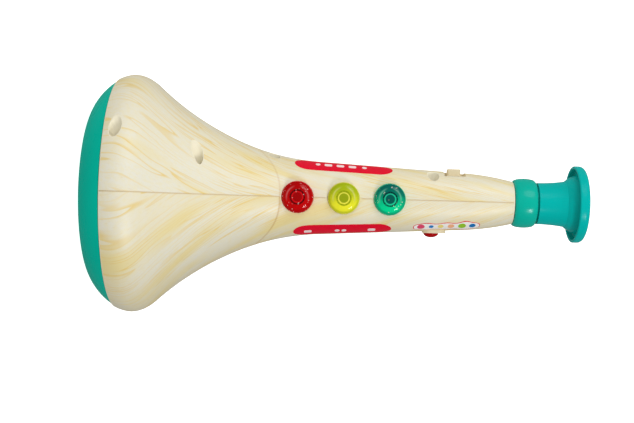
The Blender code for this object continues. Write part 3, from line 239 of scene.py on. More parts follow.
def filleted(corners, steps=6):
    """A closed profile of (radius, height, round) corners, each an arc tangent to its two sides."""
    spots = np.array([c[:2] for c in corners], float)
    path = []
    for i, (_, _, bend) in enumerate(corners):
        here, back, ahead = spots[i], spots[i - 1], spots[(i + 1) % len(spots)]
        if not bend:
            path.append(here[None])
            continue
        one, two = ((p - here) / np.linalg.norm(p - here) for p in (back, ahead))
        half = math.acos(np.clip(one @ two, -1, 1)) / 2
        centre = here + (one + two) / np.linalg.norm(one + two) * bend / math.sin(half)
        start, stop = (here + way * bend / math.tan(half) - centre for way in (one, two))
        sweep = math.pi - 2 * half
        t = np.linspace(0, 1, steps + 1)[:, None]
        path.append(centre + (np.sin((1 - t) * sweep) * start + np.sin(t * sweep) * stop) / math.sin(sweep))
    return np.concatenate(path)


def arc(centre, radii, start, end, steps):
    """Points on an ellipse about centre, from one angle to another in degrees."""
    t = np.radians(np.linspace(start, end, steps + 1))
    return np.stack([centre[0] + radii[0] * np.cos(t), centre[1] + radii[1] * np.sin(t)], -1)


def rounded_top(bend, top, count):
    """(growth, height) pairs of a quarter round from the side of a block to its top."""
    steps = np.linspace(0, np.pi / 2, count)
    return list(zip(bend * (np.cos(steps) - 1), top - bend * (1 - np.sin(steps))))


def moved(points, place):
    """Points carried along by a matrix."""
    return np.asarray(points) @ np.array(place.to_3x3()).T + np.array(place.translation)


# Meshes

SHARP_ANGLE = math.radians(35)
SLIVER = 1e-7  # points closer than this are one


def grid_faces(rows, columns, wrap_rows=False):
    """Quads of a grid of rings, numbered row by row, with the last row joined to the first where asked."""
    index = np.arange(rows * columns).reshape(rows, columns)
    ahead = np.roll(index, -1, 1)
    quads = np.stack([index, ahead, np.roll(ahead, -1, 0), np.roll(index, -1, 0)], -1)
    return quads[: rows if wrap_rows else rows - 1].reshape(-1, 4)


def make_mesh(name, points, faces, finish, sharp=SHARP_ANGLE):
    """Mesh object with doubles merged, faces turned outwards and edges sharper than an angle left sharp."""
    mesh = bpy.data.meshes.new(name)
    mesh.from_pydata(np.asarray(points).reshape(-1, 3).tolist(), [], faces)
    form = bmesh.new()
    form.from_mesh(mesh)
    bmesh.ops.remove_doubles(form, verts=form.verts, dist=SLIVER)
    bmesh.ops.recalc_face_normals(form, faces=form.faces)
    form.to_mesh(mesh)
    form.free()
    mesh.materials.append(finish)
    mesh.shade_smooth()
    mesh.set_sharp_from_angle(angle=sharp)
    obj = bpy.data.objects.new(name, mesh)
    bpy.context.collection.objects.link(obj)
    return obj


def stacked(name, rings, finish, sharp=SHARP_ANGLE):
    """Skin over a stack of rings of equal length, with the first and last ring filled in."""
    rings = np.asarray(rings)
    rows, columns = rings.shape[:2]
    faces = grid_faces(rows, columns).tolist()
    faces += [list(range(columns)), list(range((rows - 1) * columns, rows * columns))]
    return make_mesh(name, rings, faces, finish, sharp)


def column(name, flat, levels, finish, place=Matrix()):
    """Straight column: a flat outline at two levels along the z axis, then moved to its place."""
    rings = [np.column_stack([flat, np.full(len(flat), level)]) for level in levels]
    return stacked(name, moved(rings, place), finish)


def turned(name, profile, finish, segments=128, closed=True, place=Matrix()):
    """A profile of (radius, height) carried round the z axis, then moved to its place."""
    turns = np.linspace(0, 2 * np.pi, segments, endpoint=False)
    radius, height = np.asarray(profile, float).T[:, :, None]
    points = np.stack(np.broadcast_arrays(radius * np.cos(turns), radius * np.sin(turns), height), -1)
    faces = grid_faces(len(profile), segments, wrap_rows=closed).tolist()
    return make_mesh(name, moved(points, place), faces, finish)


def shape_with(obj, tools, operation="DIFFERENCE"):
    """Cuts the tools out of a piece or joins them to it, keeps each face's finish and drops slivers."""
    group = bpy.data.collections.new(obj.name + "_tools")
    for tool in tools:
        group.objects.link(tool)
        bpy.context.collection.objects.unlink(tool)
    step = obj.modifiers.new("shape", "BOOLEAN")
    step.operation, step.operand_type, step.collection = operation, "COLLECTION", group
    step.solver, step.material_mode = "EXACT", "TRANSFER"
    bpy.context.view_layer.update()
    result = bpy.data.meshes.new_from_object(obj.evaluated_get(bpy.context.evaluated_depsgraph_get()))
    obj.modifiers.clear()
    cleaned = bmesh.new()
    cleaned.from_mesh(result)
    bmesh.ops.dissolve_degenerate(cleaned, dist=SLIVER, edges=cleaned.edges)
    cleaned.to_mesh(result)
    cleaned.free()
    old, obj.data = obj.data, result
    bpy.data.meshes.remove(old)
    for tool in tools:
        bpy.data.objects.remove(tool)
    bpy.data.collections.remove(group)
    obj.data.set_sharp_from_angle(angle=SHARP_ANGLE)
    return obj


def opening(name, outline, middle, facing, floor, edge, finish):
    """Tool for a hole into the body with a rounded edge: straight walls up to the surface, then a quarter
    round that leans outwards until it meets the surface, then a flat top well outside."""
    steps = np.linspace(0, np.pi / 2, 6)
    rounds = zip(edge * (1 - np.cos(steps)), edge * (1 - np.sin(steps)))
    wide = 1.6 * edge
    rings = []
    for grow, sunk in [(0, None), *rounds, (wide, -1 * MM)]:
        aside, along = outline(grow).T
        out = floor if sunk is None else reach(aside, middle + along, facing) - sunk
        rings.append(placed(aside, out, middle + along, facing))
    rings.append(ring_at(outline(wide), out.max() + 4 * MM, middle, facing))
    return stacked(name, rings, finish)


def under_skin(name, outline, middle, facing, floor, depth, finish):
    """Column from a floor up to a given depth below the body's surface."""
    flat = outline(0)
    top = reach(flat[:, 0], middle + flat[:, 1], facing) - depth
    return stacked(name, [ring_at(flat, out, middle, facing) for out in (floor, top)], finish)


def patch(name, edge, middle_turn, middle_z, low, high, finish, rings):
    """Thin label on the body: rings shrunk from its edge to its middle, at two heights off the surface. The
    edge is (arc length, height), and arc length becomes a turn from the front, positive to the right, by
    dividing by the body's radius there."""
    sizes = np.linspace(0, 1, rings + 1)[:, None, None]
    flat = np.concatenate([sizes, sizes[::-1]]) * edge
    lift = np.repeat([low, high], rings + 1)[:, None]
    z = middle_z + flat[..., 1]
    turn = middle_turn + flat[..., 0] / body_radius(z, abs(middle_turn))
    radius = body_radius(z, np.abs(turn)) + lift
    x = radius * np.sin(turn) + np.sign(turn) * seam_gap(z)
    points = np.stack([x, -radius * np.cos(turn), z], -1)
    return make_mesh(name, points, grid_faces(*points.shape[:2]).tolist(), finish)


def joined(name, parts):
    """Several pieces as one object."""
    with bpy.context.temp_override(active_object=parts[0], selected_editable_objects=parts):
        bpy.ops.object.join()
    parts[0].name = name
    return parts[0]


def fit(obj, body, slot, *nodes):
    """Lets a piece ride on a body and hides the solids that it stands for. The slot is not used."""
    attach(obj, body)
    if nodes:
        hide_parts(*nodes)


# Finishes

def display(red, green, blue):
    """Linear colour from display values of 0 to 255."""
    values = np.array([red, green, blue]) / 255
    linear = np.where(values <= 0.04045, values / 12.92, ((values + 0.055) / 1.055) ** 2.4)
    return (*linear.tolist(), 1.0)


def scaled(colour, share):
    """The same colour darker or lighter by a share, never past white."""
    return (*(min(1.0, c * share) for c in colour[:3]), 1.0)


class Finish:
    """A material, or a sky, under construction: nodes are added by type, with settings and inputs by name."""

    def __init__(self, name, kind=bpy.data.materials, surface="Principled BSDF", **sockets):
        self.material = kind.new(name)
        self.material.use_nodes = True
        self.tree = self.material.node_tree
        self.surface = self.tree.nodes[surface]
        for socket, value in sockets.items():
            self.set(self.surface, socket.replace("_", " "), value)

    def set(self, node, socket, value):
        target = node.inputs[socket]
        if isinstance(value, bpy.types.NodeSocket):
            self.tree.links.new(value, target)
        else:
            target.default_value = value

    def give(self, socket, value):
        self.set(self.surface, socket, value)

    def node(self, kind, settings=None, output=0, **inputs):
        node = self.tree.nodes.new("ShaderNode" + kind)
        for key, value in (settings or {}).items():
            setattr(node, key, value)
        for socket, value in inputs.items():
            self.set(node, int(socket[1:]) if socket[1:].isdigit() else socket.replace("_", " "), value)
        return node.outputs[output]

    def math(self, operation, first, second=0.0, third=0.0):
        return self.node("Math", {"operation": operation}, _0=first, _1=second, _2=third)

    def times(self, first, second):
        return self.math("MULTIPLY", first, second)

    def smooth(self, value, low, high, to_low=0.0, to_high=1.0):
        """Eased step from one value to another."""
        return self.node("MapRange", {"interpolation_type": "SMOOTHSTEP"}, Value=value,
                         From_Min=low, From_Max=high, To_Min=to_low, To_Max=to_high)

    def place(self):
        return self.node("TexCoord", output="Object")

    def noise(self, vector, scale, detail, roughness=0.5):
        return self.node("TexNoise", Vector=vector, Scale=scale, Detail=detail, Roughness=roughness)

    def blend(self, share, first, second):
        node = self.tree.nodes.new("ShaderNodeMix")
        node.data_type = "RGBA"
        for slot, value in ((0, share), (6, first), (7, second)):
            self.set(node, slot, value)
        return node.outputs[2]

    def bump(self, height, strength):
        self.give("Normal", self.node("Bump", Height=height, Strength=strength, Distance=SKIN_DEPTH))


SKIN_DEPTH = 0.02 * MM  # of the fine unevenness on plastics and labels


def moulded(name, colour, roughness, shade=0.9, index=1.45):
    """Moulded plastic: faint flow clouds in the colour, uneven gloss, and a very fine skin."""
    f = Finish(name, IOR=index)
    place = f.place()
    clouds = f.smooth(f.noise(place, 45, 4), 0.3, 0.7)
    f.give("Base Color", f.blend(clouds, scaled(colour, shade), colour))
    gloss = f.noise(place, 160, 3)
    f.give("Roughness", f.smooth(gloss, 0.25, 0.75, roughness * 0.85, roughness * 1.2))
    f.bump(f.noise(place, 900, 2), 0.12)
    return f.material


RIGHT_FILM = 0.9  # where the right half's film starts on the grain map, past the end of the left one


def wood_print():
    """Printed grain on cream plastic: growth lines are the fraction of a noise that is stretched along the
    veins, so each line has one crisp side and one soft side. Broad golden stains, a fine mottle and pores lie
    over them, and the right half is more golden up to its neck. Over all lies a painted shade line along the
    fold of flare and neck, with the dark seam line."""
    f = Finish("wood_print")

    def stretched_noise(vector, along, across, detail, roughness=0.5):
        return f.noise(f.node("Mapping", Vector=vector, Scale=(along, across, 1)), 1.0, detail, roughness)

    grain = f.node("UVMap", {"uv_map": "grain"})
    along = f.node("SeparateXYZ", Vector=grain)
    # The right half is more golden up to its neck, with a little more stain and fainter veins.
    right = f.math("GREATER_THAN", along, 0.5)
    golden = f.times(right, f.smooth(along, RIGHT_FILM + 0.2, RIGHT_FILM + 0.12))
    sway = f.math("MULTIPLY_ADD", stretched_noise(grain, 14, 26, 3), 0.011, -0.0055)
    veins = f.node("VectorMath", {"operation": "ADD"}, _0=grain, _1=f.node("CombineXYZ", Y=sway))
    line = f.math("FRACT", f.times(stretched_noise(veins, 6, 110, 2), 12.0))
    crisp = f.times(f.smooth(line, 0.58, 0.93), f.smooth(line, 1.0, 0.93))
    strong = f.math("MULTIPLY_ADD", right, -0.08, stretched_noise(veins, 18, 60, 2))
    vein = f.times(crisp, f.smooth(strong, 0.25, 0.58))
    spread = f.math("MULTIPLY_ADD", golden, 0.04, stretched_noise(veins, 14, 60, 3))
    stain = f.smooth(spread, 0.47, 0.72)
    mottle = f.smooth(stretched_noise(veins, 420, 900, 3, 0.6), 0.35, 0.7)
    pores = f.smooth(stretched_noise(veins, 260, 1500, 2), 0.58, 0.75)
    # Painted shade along the fold of flare and neck, with the dark seam line.
    crease_shade_and_seam = f.node("Attribute", {"attribute_name": "crease_shade_and_seam"}, output="Fac")
    clouds = f.smooth(stretched_noise(grain, 12, 18, 3), 0.3, 0.7)
    colour = f.blend(clouds, display(236, 233, 217), display(238, 231, 206))
    for layer, share, ink in (
        (stain, 0.75, (240, 219, 138)), (vein, 0.8, (236, 204, 108)), (mottle, 0.3, (240, 226, 166)),
        (pores, 0.15, (222, 188, 122)), (crease_shade_and_seam, 0.75, (204, 166, 100)),
    ):
        colour = f.blend(f.times(layer, share), colour, display(*ink))
    f.give("Base Color", colour)
    f.give("Roughness", f.smooth(f.noise(f.place(), 140, 3), 0.3, 0.7, 0.36, 0.46))
    f.bump(f.noise(f.place(), 1100, 2), 0.2)
    return f.material


def clear_plastic(name, colour):
    """Clear resin with faint clouds in it."""
    f = Finish(name, IOR=1.47, Transmission_Weight=0.8, Roughness=0.05)
    clouds = f.smooth(f.noise(f.place(), 900, 3), 0.3, 0.7)
    f.give("Base Color", f.blend(clouds, scaled(colour, 0.94), colour))
    return f.material


def button_plastic(name, middle, deep, lit_side_tint, ring, coil, speck):
    """Tinted clear plastic of a button about a height on the body, with painted light and shade in its
    colour.
    Its left side is painted darker and its right side lighter, as light falls on it, over faint clouds. The
    colour is painted darker towards the edge and painted lighter again at the thin skirt. By its distance
    from the axis it has painted shade in the stem's well and along the spring round it, a painted light ring
    for the stem's wall and a painted pale reflection of the dome's inside. Small bubbles lie where a cell
    pattern nears its centres."""
    f = Finish(name, IOR=1.28, Transmission_Weight=0.1, Roughness=0.07)
    place = f.place()
    parts = f.tree.nodes.new("ShaderNodeSeparateXYZ")
    f.set(parts, "Vector", place)
    x, z = parts.outputs["X"], f.math("SUBTRACT", parts.outputs["Z"], middle)
    out = f.math("SQRT", f.math("ADD", f.times(x, x), f.times(z, z)))

    def fade(start, end, share=1.0):
        return f.smooth(out, start * MM, end * MM, 0.0, share)

    def band(low, high, soft=0.25):
        return f.times(fade(low - soft, low + soft), fade(high + soft, high - soft))

    # Painted light and shade: the mix runs from the darker left side to the lighter right side along x, as
    # light falls, with a little noise for faint clouds.
    clouds = f.math("MULTIPLY_ADD", f.noise(place, 300, 3), 6 * MM, f.math("SUBTRACT", x, 3 * MM))
    # Noise that breaks the spring's painted shade into turns.
    coils = f.smooth(f.noise(place, 1500, 1), 0.3, 0.55, 0.5, 1.0)
    # Painted sheen: a pale reflection band at the dome's shoulders, to either side and towards the upper
    # side.
    aside = f.math("ADD", f.math("ABSOLUTE", z), f.times(x, -0.5))
    sheen = f.times(band(5.8, 6.5, 0.5), f.smooth(aside, 4.0 * MM, 7.0 * MM, 0.0, 0.6))
    pale = tuple(0.7 * c + 0.2 for c in ring[:3]) + (1.0,)
    bubbles = f.smooth(f.node("TexVoronoi", Vector=place, Scale=650.0), 0.24, 0.14)
    chosen = f.times(f.smooth(f.noise(place, 230, 1), 0.48, 0.56), speck)
    colour = f.blend(f.smooth(clouds, -6 * MM, 6 * MM), deep, lit_side_tint)
    # Painted shade towards the edge, painted light at the thin skirt, painted shade in the stem's well and
    # along the spring, a painted light ring for the stem's wall, the painted sheen, then small bubbles.
    for share, tint in (
        (fade(7.0, 8.4, 0.5), scaled(deep, 0.85)), (fade(8.4, 9.1, 0.9), ring),
        (fade(2.9, 2.5), scaled(deep, 0.8)), (f.times(band(3.5, 4.4), coils), coil),
        (f.times(band(2.75, 3.3, 0.2), 0.85), ring), (sheen, pale),
        (f.times(bubbles, chosen), display(255, 222, 216)),
    ):
        colour = f.blend(share, colour, tint)
    f.give("Base Color", colour)
    f.bump(f.noise(place, 500, 2), 0.06)
    return f.material


def metal(name, colour, roughness):
    """Plated steel: fine rolling streaks in the gloss and a faint tarnish."""
    f = Finish(name, Metallic=1.0)
    place = f.place()
    streaks = f.noise(f.node("Mapping", Vector=place, Scale=(300, 300, 2400)), 1.0, 2)
    tarnish = f.smooth(f.noise(place, 240, 3), 0.35, 0.75)
    f.give("Base Color", f.blend(tarnish, colour, scaled(colour, 0.8)))
    f.give("Roughness", f.smooth(streaks, 0.2, 0.8, roughness * 0.7, roughness * 1.3))
    return f.material


def printed_label(name, colour):
    """Glossy label film: even ink with a faint mottle and a slightly wavy lacquer."""
    f = Finish(name, IOR=1.2)
    place = f.place()
    mottle = f.smooth(f.noise(place, 700, 3), 0.35, 0.7)
    f.give("Base Color", f.blend(mottle, colour, scaled(colour, 1.08)))
    f.give("Roughness", f.smooth(f.noise(place, 120, 2), 0.3, 0.7, 0.3, 0.4))
    f.bump(f.noise(place, 600, 2), 0.15)
    return f.material


WOOD = wood_print()
BARE = moulded("unprinted_plastic", display(247, 240, 214), 0.42, 0.95)
TEAL = moulded("bell_rim_plastic", display(0, 192, 168), 0.3, 0.95, index=1.08)
COLLAR_TEAL = moulded("collar_plastic", display(0, 186, 165), 0.2, 0.95, index=1.27)
MOUTH_TEAL = moulded("mouthpiece_plastic", display(0, 185, 179), 0.22, 0.95, index=1.16)
KNOB_TAN = moulded("knob_plastic", display(246, 233, 198), 0.4, 0.88)
SIDE_RED = moulded("side_button_plastic", display(182, 0, 2), 0.14, 0.85, index=1.25)
STEEL = metal("plated_steel", display(206, 206, 208), 0.34)
LABEL_RED = printed_label("red_label_film", display(230, 4, 44))
LABEL_PALE = printed_label("pale_label_ink", display(248, 226, 226))
LABEL_WHITE = printed_label("white_sticker_film", display(246, 244, 240))
BUTTON_LIT_AND_SHADED_TINTS = {  # painted shaded side, painted lit side, painted light of the stem ring and skirt, painted shade of the spring, and how strong the bubbles are
    "red": ((184, 0, 4), (206, 0, 4), (226, 16, 26), (72, 0, 4), 0.7),
    "yellow": ((176, 194, 24), (255, 252, 52), (252, 244, 96), (150, 164, 10), 0.0),
    "green": ((0, 108, 96), (0, 230, 158), (40, 214, 164), (0, 44, 48), 0.7),
}
BUTTON_TINTS = {
    tint: button_plastic(f"{tint}_clear_plastic", BUTTON_Z[tint], *(display(*ink) for ink in lit_and_shaded_tints), speck)
    for tint, (*lit_and_shaded_tints, speck) in BUTTON_LIT_AND_SHADED_TINTS.items()
}


# Body halves

VEIN_RADIUS = 40 * MM
VEIN_START = 26 * MM
VEIN_EASE = 9 * MM
VEIN_DRIFT = {-1: (7.0, 14.0), 1: (10.8, 35.0)}  # turn per metre and per square metre along each half
CREASE_LINE, SEAM_LINE = 0.42 * MM, 0.3 * MM  # half widths of the painted shade line along the fold and of the dark seam line
CREASE_TOP = 112 * MM  # past the highest point of the fold of flare and neck


def grain_map(points, side):
    """Place on the printed film: height along the body, and turn from the front seam plus a drift that grows
    with height, so that the veins run into the seam as they leave the bell."""
    x, y, z = np.moveaxis(points, -1, 0)
    turn = np.mod(np.arctan2(side * x, -y) + 0.01, 2 * np.pi) - 0.01
    past = z - VEIN_START
    run = (past + np.sqrt(past**2 + VEIN_EASE**2)) / 2
    rate, gain = VEIN_DRIFT[side]
    across = VEIN_RADIUS * (turn + rate * run + gain * run**2)
    return np.stack([z + (RIGHT_FILM if side > 0 else 0.0), across], -1)


def add_grain(obj, side):
    """Stores the place on the film as a UV map, and as an attribute a painted shade line along the fold of
    flare and neck, half as strong on the left half, together with the dark seam line."""
    mesh = obj.data
    points = np.empty(3 * len(mesh.vertices))
    mesh.vertices.foreach_get("co", points)
    points = points.reshape(-1, 3)
    corners = np.empty(len(mesh.loops), int)
    mesh.loops.foreach_get("vertex_index", corners)
    layer = mesh.uv_layers.new(name="grain")
    layer.data.foreach_set("uv", grain_map(points, side)[corners].astype(np.float32).ravel())
    x, y, z = points.T
    turn = np.arctan2(np.abs(x), -y)
    step = 0.01 * MM
    apart = flare_radius(z) - neck_radius(z, turn)
    slope = (flare_radius(z + step) - neck_radius(z + step, turn) - apart) / step
    # Painted shade along the fold of flare and neck, half as strong on the left half, where more light falls.
    crease_shade_and_seam = np.exp(-((apart / slope / CREASE_LINE) ** 2)) * (0.5 if side < 0 else 1.0)
    seam = np.exp(-(((np.abs(x) - seam_gap(z)) / SEAM_LINE) ** 2))
    crease_shade_and_seam = np.maximum(crease_shade_and_seam * (z < CREASE_TOP), 0.8 * seam)
    mesh.attributes.new("crease_shade_and_seam", "FLOAT", "POINT").data.foreach_set("value", crease_shade_and_seam.astype(np.float32))


SEAM_EDGE = 0.08 * MM
END_EDGE = 0.4 * MM
BELL_BARE = 0.55 * MM  # width of the unprinted edge by the rim
TAIL_BARE = 0.7 * MM  # and by the collar


def edge_drop(distance, bend):
    """How far a quarter round of that radius lies below the surface, at a distance from the edge."""
    lean = np.clip(bend - distance, 0, bend)
    return bend - np.sqrt(bend**2 - lean**2)


def half_shell(name, side):
    """One half of the body: a closed section (outside from front seam to back seam, inside back again)
    carried along the axis, with rounded edges at the seam and at both ends, and half of the spigot."""
    edge = END_EDGE * np.array([0, 0.12, 0.35, 0.65, 1.0])
    z = np.concatenate([
        SHELL_LOW + edge, [SHELL_LOW + BELL_BARE],
        np.linspace(SHELL_LOW, CREASE_LOW, 74)[2:-1], np.linspace(CREASE_LOW, CREASE_END, 68),
        np.linspace(CREASE_END, TAIL_START, 60)[1:], np.linspace(TAIL_START, BODY_END - TAIL_BARE, 16)[1:],
        BODY_END - edge[::-1],
    ])
    near = SEAM_EDGE * np.array([0, 0.2, 0.55, 1.0, 3.0, 6.0, 10.0])
    base = body_radius(z, 0.0)[:, None]
    start = near[-1] / base
    between = start + np.linspace(0, 1, 86)[1:-1] * (np.pi - 2 * start)
    turn = np.concatenate([near / base, between, np.pi - near[::-1] / base], 1)
    from_seam = np.minimum(turn, np.pi - turn) * base
    height = np.broadcast_to(z[:, None], turn.shape)
    from_end = np.minimum(height - SHELL_LOW, BODY_END - height)
    outer = body_radius(height, turn) - edge_drop(from_seam, SEAM_EDGE) - edge_drop(from_end, END_EDGE)
    inner_height = np.minimum(height, BODY_END - WALL)
    inner = body_radius(inner_height, turn) - WALL
    inner += 0.9 * (height - inner_height) / WALL * (SPIGOT_BORE - inner)
    spigot_end = COLLAR_HIGH - 1.0 * MM
    for out_z, in_z in ((BODY_END, BODY_END - WALL), (spigot_end, spigot_end)):
        turn = np.vstack([turn, turn[-1:]])
        outer, height, inner, inner_height = (
            np.vstack([grid, np.full((1, turn.shape[1]), value)]) for grid, value in
            ((outer, SPIGOT_RADIUS), (height, out_z), (inner, SPIGOT_BORE), (inner_height, in_z))
        )
    radius = np.hstack([outer, inner[:, ::-1]])
    around = np.hstack([turn, turn[:, ::-1]])
    level = np.hstack([height, inner_height[:, ::-1]])
    x = side * (radius * np.sin(around) + seam_gap(level))
    points = np.stack([x, -radius * np.cos(around), level], -1)
    rows, columns = radius.shape
    half = columns // 2 - 1
    index = np.arange(rows * columns).reshape(rows, columns)
    ends = [
        np.stack([row[:half], row[1: half + 1], row[:-1][::-1][:half], row[::-1][:half]], -1)
        for row in (index[0], index[-1])
    ]
    shell = make_mesh(name, points, np.concatenate([grid_faces(rows, columns), *ends]).tolist(), WOOD)
    shell.data.materials.append(BARE)
    paint_bare(shell)
    add_grain(shell, side)
    return shell


def paint_bare(shell):
    """Leaves the inside, the seam faces and the two end bands unprinted."""
    mesh = shell.data
    middle = np.empty(3 * len(mesh.polygons))
    mesh.polygons.foreach_get("center", middle)
    x, y, z = middle.reshape(-1, 3).T
    outside = np.hypot(np.abs(x) - seam_gap(z), y) > body_radius(z, np.arctan2(np.abs(x), -y)) - 0.35 * MM
    printed = outside & (z > SHELL_LOW + BELL_BARE * 0.9) & (z < BODY_END - TAIL_BARE * 1.02)
    mesh.polygons.foreach_set("material_index", np.where(printed, 0, 1).astype(np.int32))


def screw_pair(y, z):
    return (-y, z), (y, z)


SCREWS = (  # (y, z) of each
    *screw_pair(flare_radius(BELL_SCREW_Z) - 10 * MM, BELL_SCREW_Z),
    *screw_pair(flare_radius(FLARE_SCREW_Z) - 7.4 * MM, FLARE_SCREW_Z),
    MIDDLE_SCREW,
    *screw_pair(skin(TAIL_SCREW_Z, "front") - 6.6 * MM, TAIL_SCREW_Z),
)


def shifted(outline, aside):
    """The same outline, moved aside."""
    return lambda grow: outline(grow) + [aside, 0.0]


def button_holes(tag):
    outline = circle_outline(BUTTON_RADIUS + GAP / 4, 96)
    return [
        opening(f"{tag}_{tint}_hole", outline, z, "front", BOARD_FRONT, 0.12 * MM, BARE)
        for tint, z in BUTTON_Z.items()
    ]


def door_hole(tag):
    outline = block_outline(2 * DOOR_HALF_WIDTH, DOOR_HIGH - DOOR_LOW, 3 * MM)
    return opening(f"{tag}_door_hole", outline, DOOR_MIDDLE, "back", 9 * MM, 0.35 * MM, BARE)


def make_left_shell():
    """Left half: screw posts and a pad for the switch are joined on, then the holes and recesses are cut."""
    shell = half_shell("left_shell_print", -1)
    post, recess = circle_outline(POST_RADIUS, 40), circle_outline(RECESS_RADIUS, 48)
    posts = [
        under_skin(f"post_{i}", shifted(post, y), z, "left", 1.0 * MM, 1.1 * MM, BARE)
        for i, (y, z) in enumerate(SCREWS)
    ]
    floor = skin(SWITCH_Z, "left") - SWITCH_DEPTH
    pad = block_outline(14 * MM, 16.6 * MM, 1 * MM)
    posts.append(under_skin("switch_pad", pad, SWITCH_Z, "left", floor - 1.4 * MM, 1.1 * MM, BARE))
    shape_with(shell, posts, "UNION")
    tools = [*button_holes("left"), door_hole("left")]
    for i, (y, z) in enumerate(SCREWS):
        tools.append(opening(f"recess_{i}", shifted(recess, y), z, "left", SCREW_SEAT, 0.4 * MM, BARE))
    pocket = shifted(block_outline(16.2 * MM, 12.7 * MM, 0.4 * MM), -3.9 * MM)(0.0)
    rings = [ring_at(pocket, out, SWITCH_Z, "left") for out in (floor, floor + 8 * MM)]
    # The switch recess and its slot take the knob's tan plastic, a little darker than the bare plastic, as
    # painted shade on their walls.
    shape_with(shell, [*tools, stacked("switch_recess", rings, KNOB_TAN)])
    slot = block_outline(4 * MM, 9 * MM, 0.6 * MM)
    shape_with(shell, [under_skin("switch_slot", slot, SWITCH_Z, "left", 8 * MM, 0.0, KNOB_TAN)])
    fit(shell, "body", "wood_print_plastic", "left_shell")


def make_right_shell():
    """Right half: the side button's plinth is joined on, then the holes are cut."""
    shell = half_shell("right_shell_print", 1)
    face = skin(SIDE_Z, "right") + PLINTH_RISE
    outline = block_outline(11.6 * MM, 13.6 * MM, 4.5 * MM)
    levels = [(0.0, face - 6 * MM), *rounded_top(0.5 * MM, face, 6)]
    rings = [ring_at(outline(grow), out, PLINTH_MIDDLE, "right") for grow, out in levels]
    shape_with(shell, [stacked("plinth", rings, KNOB_TAN)], "UNION")
    side_hole = circle_outline(SIDE_RADIUS + GAP, 64)(0.0)
    rings = [ring_at(side_hole, out, SIDE_Z, "right") for out in (8 * MM, face + 3 * MM)]
    shape_with(shell, [*button_holes("right"), door_hole("right"), stacked("side_hole", rings, BARE)])
    fit(shell, "body", "wood_print_plastic", "right_shell")


def make_door():
    """Battery door: rings shrunk from its rounded outline, laid on the body's back, with a rounded edge."""
    outline = block_outline(2 * (DOOR_HALF_WIDTH - GAP), DOOR_HIGH - DOOR_LOW - 2 * GAP, 2.7 * MM, 6)
    bend = 0.4 * MM
    rings = []
    for size, grow, sunk in (
        *((s, 0.0, 2.2 * MM) for s in (0, 0.5, 1)),
        *((1, grow, -height) for grow, height in rounded_top(bend, 0.0, 5)),
        *((s, -bend, 0.0) for s in np.linspace(0.95, 0, 20)),
    ):
        flat = size * outline(grow)
        out = reach(flat[:, 0], DOOR_MIDDLE + flat[:, 1], "back") - sunk
        rings.append(ring_at(flat, out, DOOR_MIDDLE, "back"))
    door = make_mesh("battery_door_print", rings, grid_faces(len(rings), len(rings[0])).tolist(), WOOD)
    add_grain(door, 1)
    floor = skin(DOOR_SCREW_Z, "back") - 1.5 * MM
    recess = circle_outline(2.6 * MM, 48)
    shape_with(door, [opening("door_recess", recess, DOOR_SCREW_Z, "back", floor, 0.3 * MM, BARE)])
    fit(door, "body", "wood_print_plastic", "battery_door")


def screw_mesh(name, tip, seat, shank, head, height, place):
    """Domed screw with a cross slot: a turned profile, less two crossed blocks."""
    dome = arc((0, seat + height * 0.35), (head, height * 0.65), 0, 90, 8)[:-1]
    profile = [(0, tip), (shank * 0.4, tip), (shank, tip + shank), (shank, seat), (head, seat), *dome,
               (0, seat + height)]
    screw = turned(name, profile, STEEL, 48, False, place)
    narrow, wide = head * 0.3, head * 1.3
    levels = (seat + height * 0.35, seat + height * 1.5)
    bars = [
        column(name + "_bar", block_outline(*size, head * 0.05, 2)(0.0), levels, STEEL, place)
        for size in ((narrow, wide), (wide, narrow))
    ]
    return shape_with(screw, bars)


def make_screws():
    seat = SCREW_SEAT + GAP
    for i, (y, z) in enumerate(SCREWS):
        place = Matrix.Translation((0, y, z)) @ Matrix.Rotation(-math.pi / 2, 4, "Y")
        screw = screw_mesh(f"body_screw_{i + 1}", seat - 16 * MM, seat, 1.4 * MM, 2.8 * MM, 2.0 * MM, place)
        fit(screw, "body", "steel", f"shell_screw_{i + 1}")
    seat = skin(DOOR_SCREW_Z, "back") - 1.2 * MM
    place = Matrix.Translation((0, 0, DOOR_SCREW_Z)) @ Matrix.Rotation(-math.pi / 2, 4, "X")
    screw = screw_mesh("battery_door_screw", seat - 7 * MM, seat, 1.2 * MM, 2.3 * MM, 1.2 * MM, place)
    fit(screw, "body", "steel", "door_screw")


# Bell rim, grille, collar and mouthpiece

def rim_lip(size, start, end, steps):
    """Quarter superellipse about the lip's centre, between two angles below the horizontal."""
    t = np.linspace(start, end, steps + 1)
    out = size * np.maximum(np.cos(t), 0) ** (2 / RIM_POWER)
    return np.stack([BELL_RADIUS - LIP_ROUND + out, LIP_ROUND - size * np.sin(t) ** (2 / RIM_POWER)], -1)


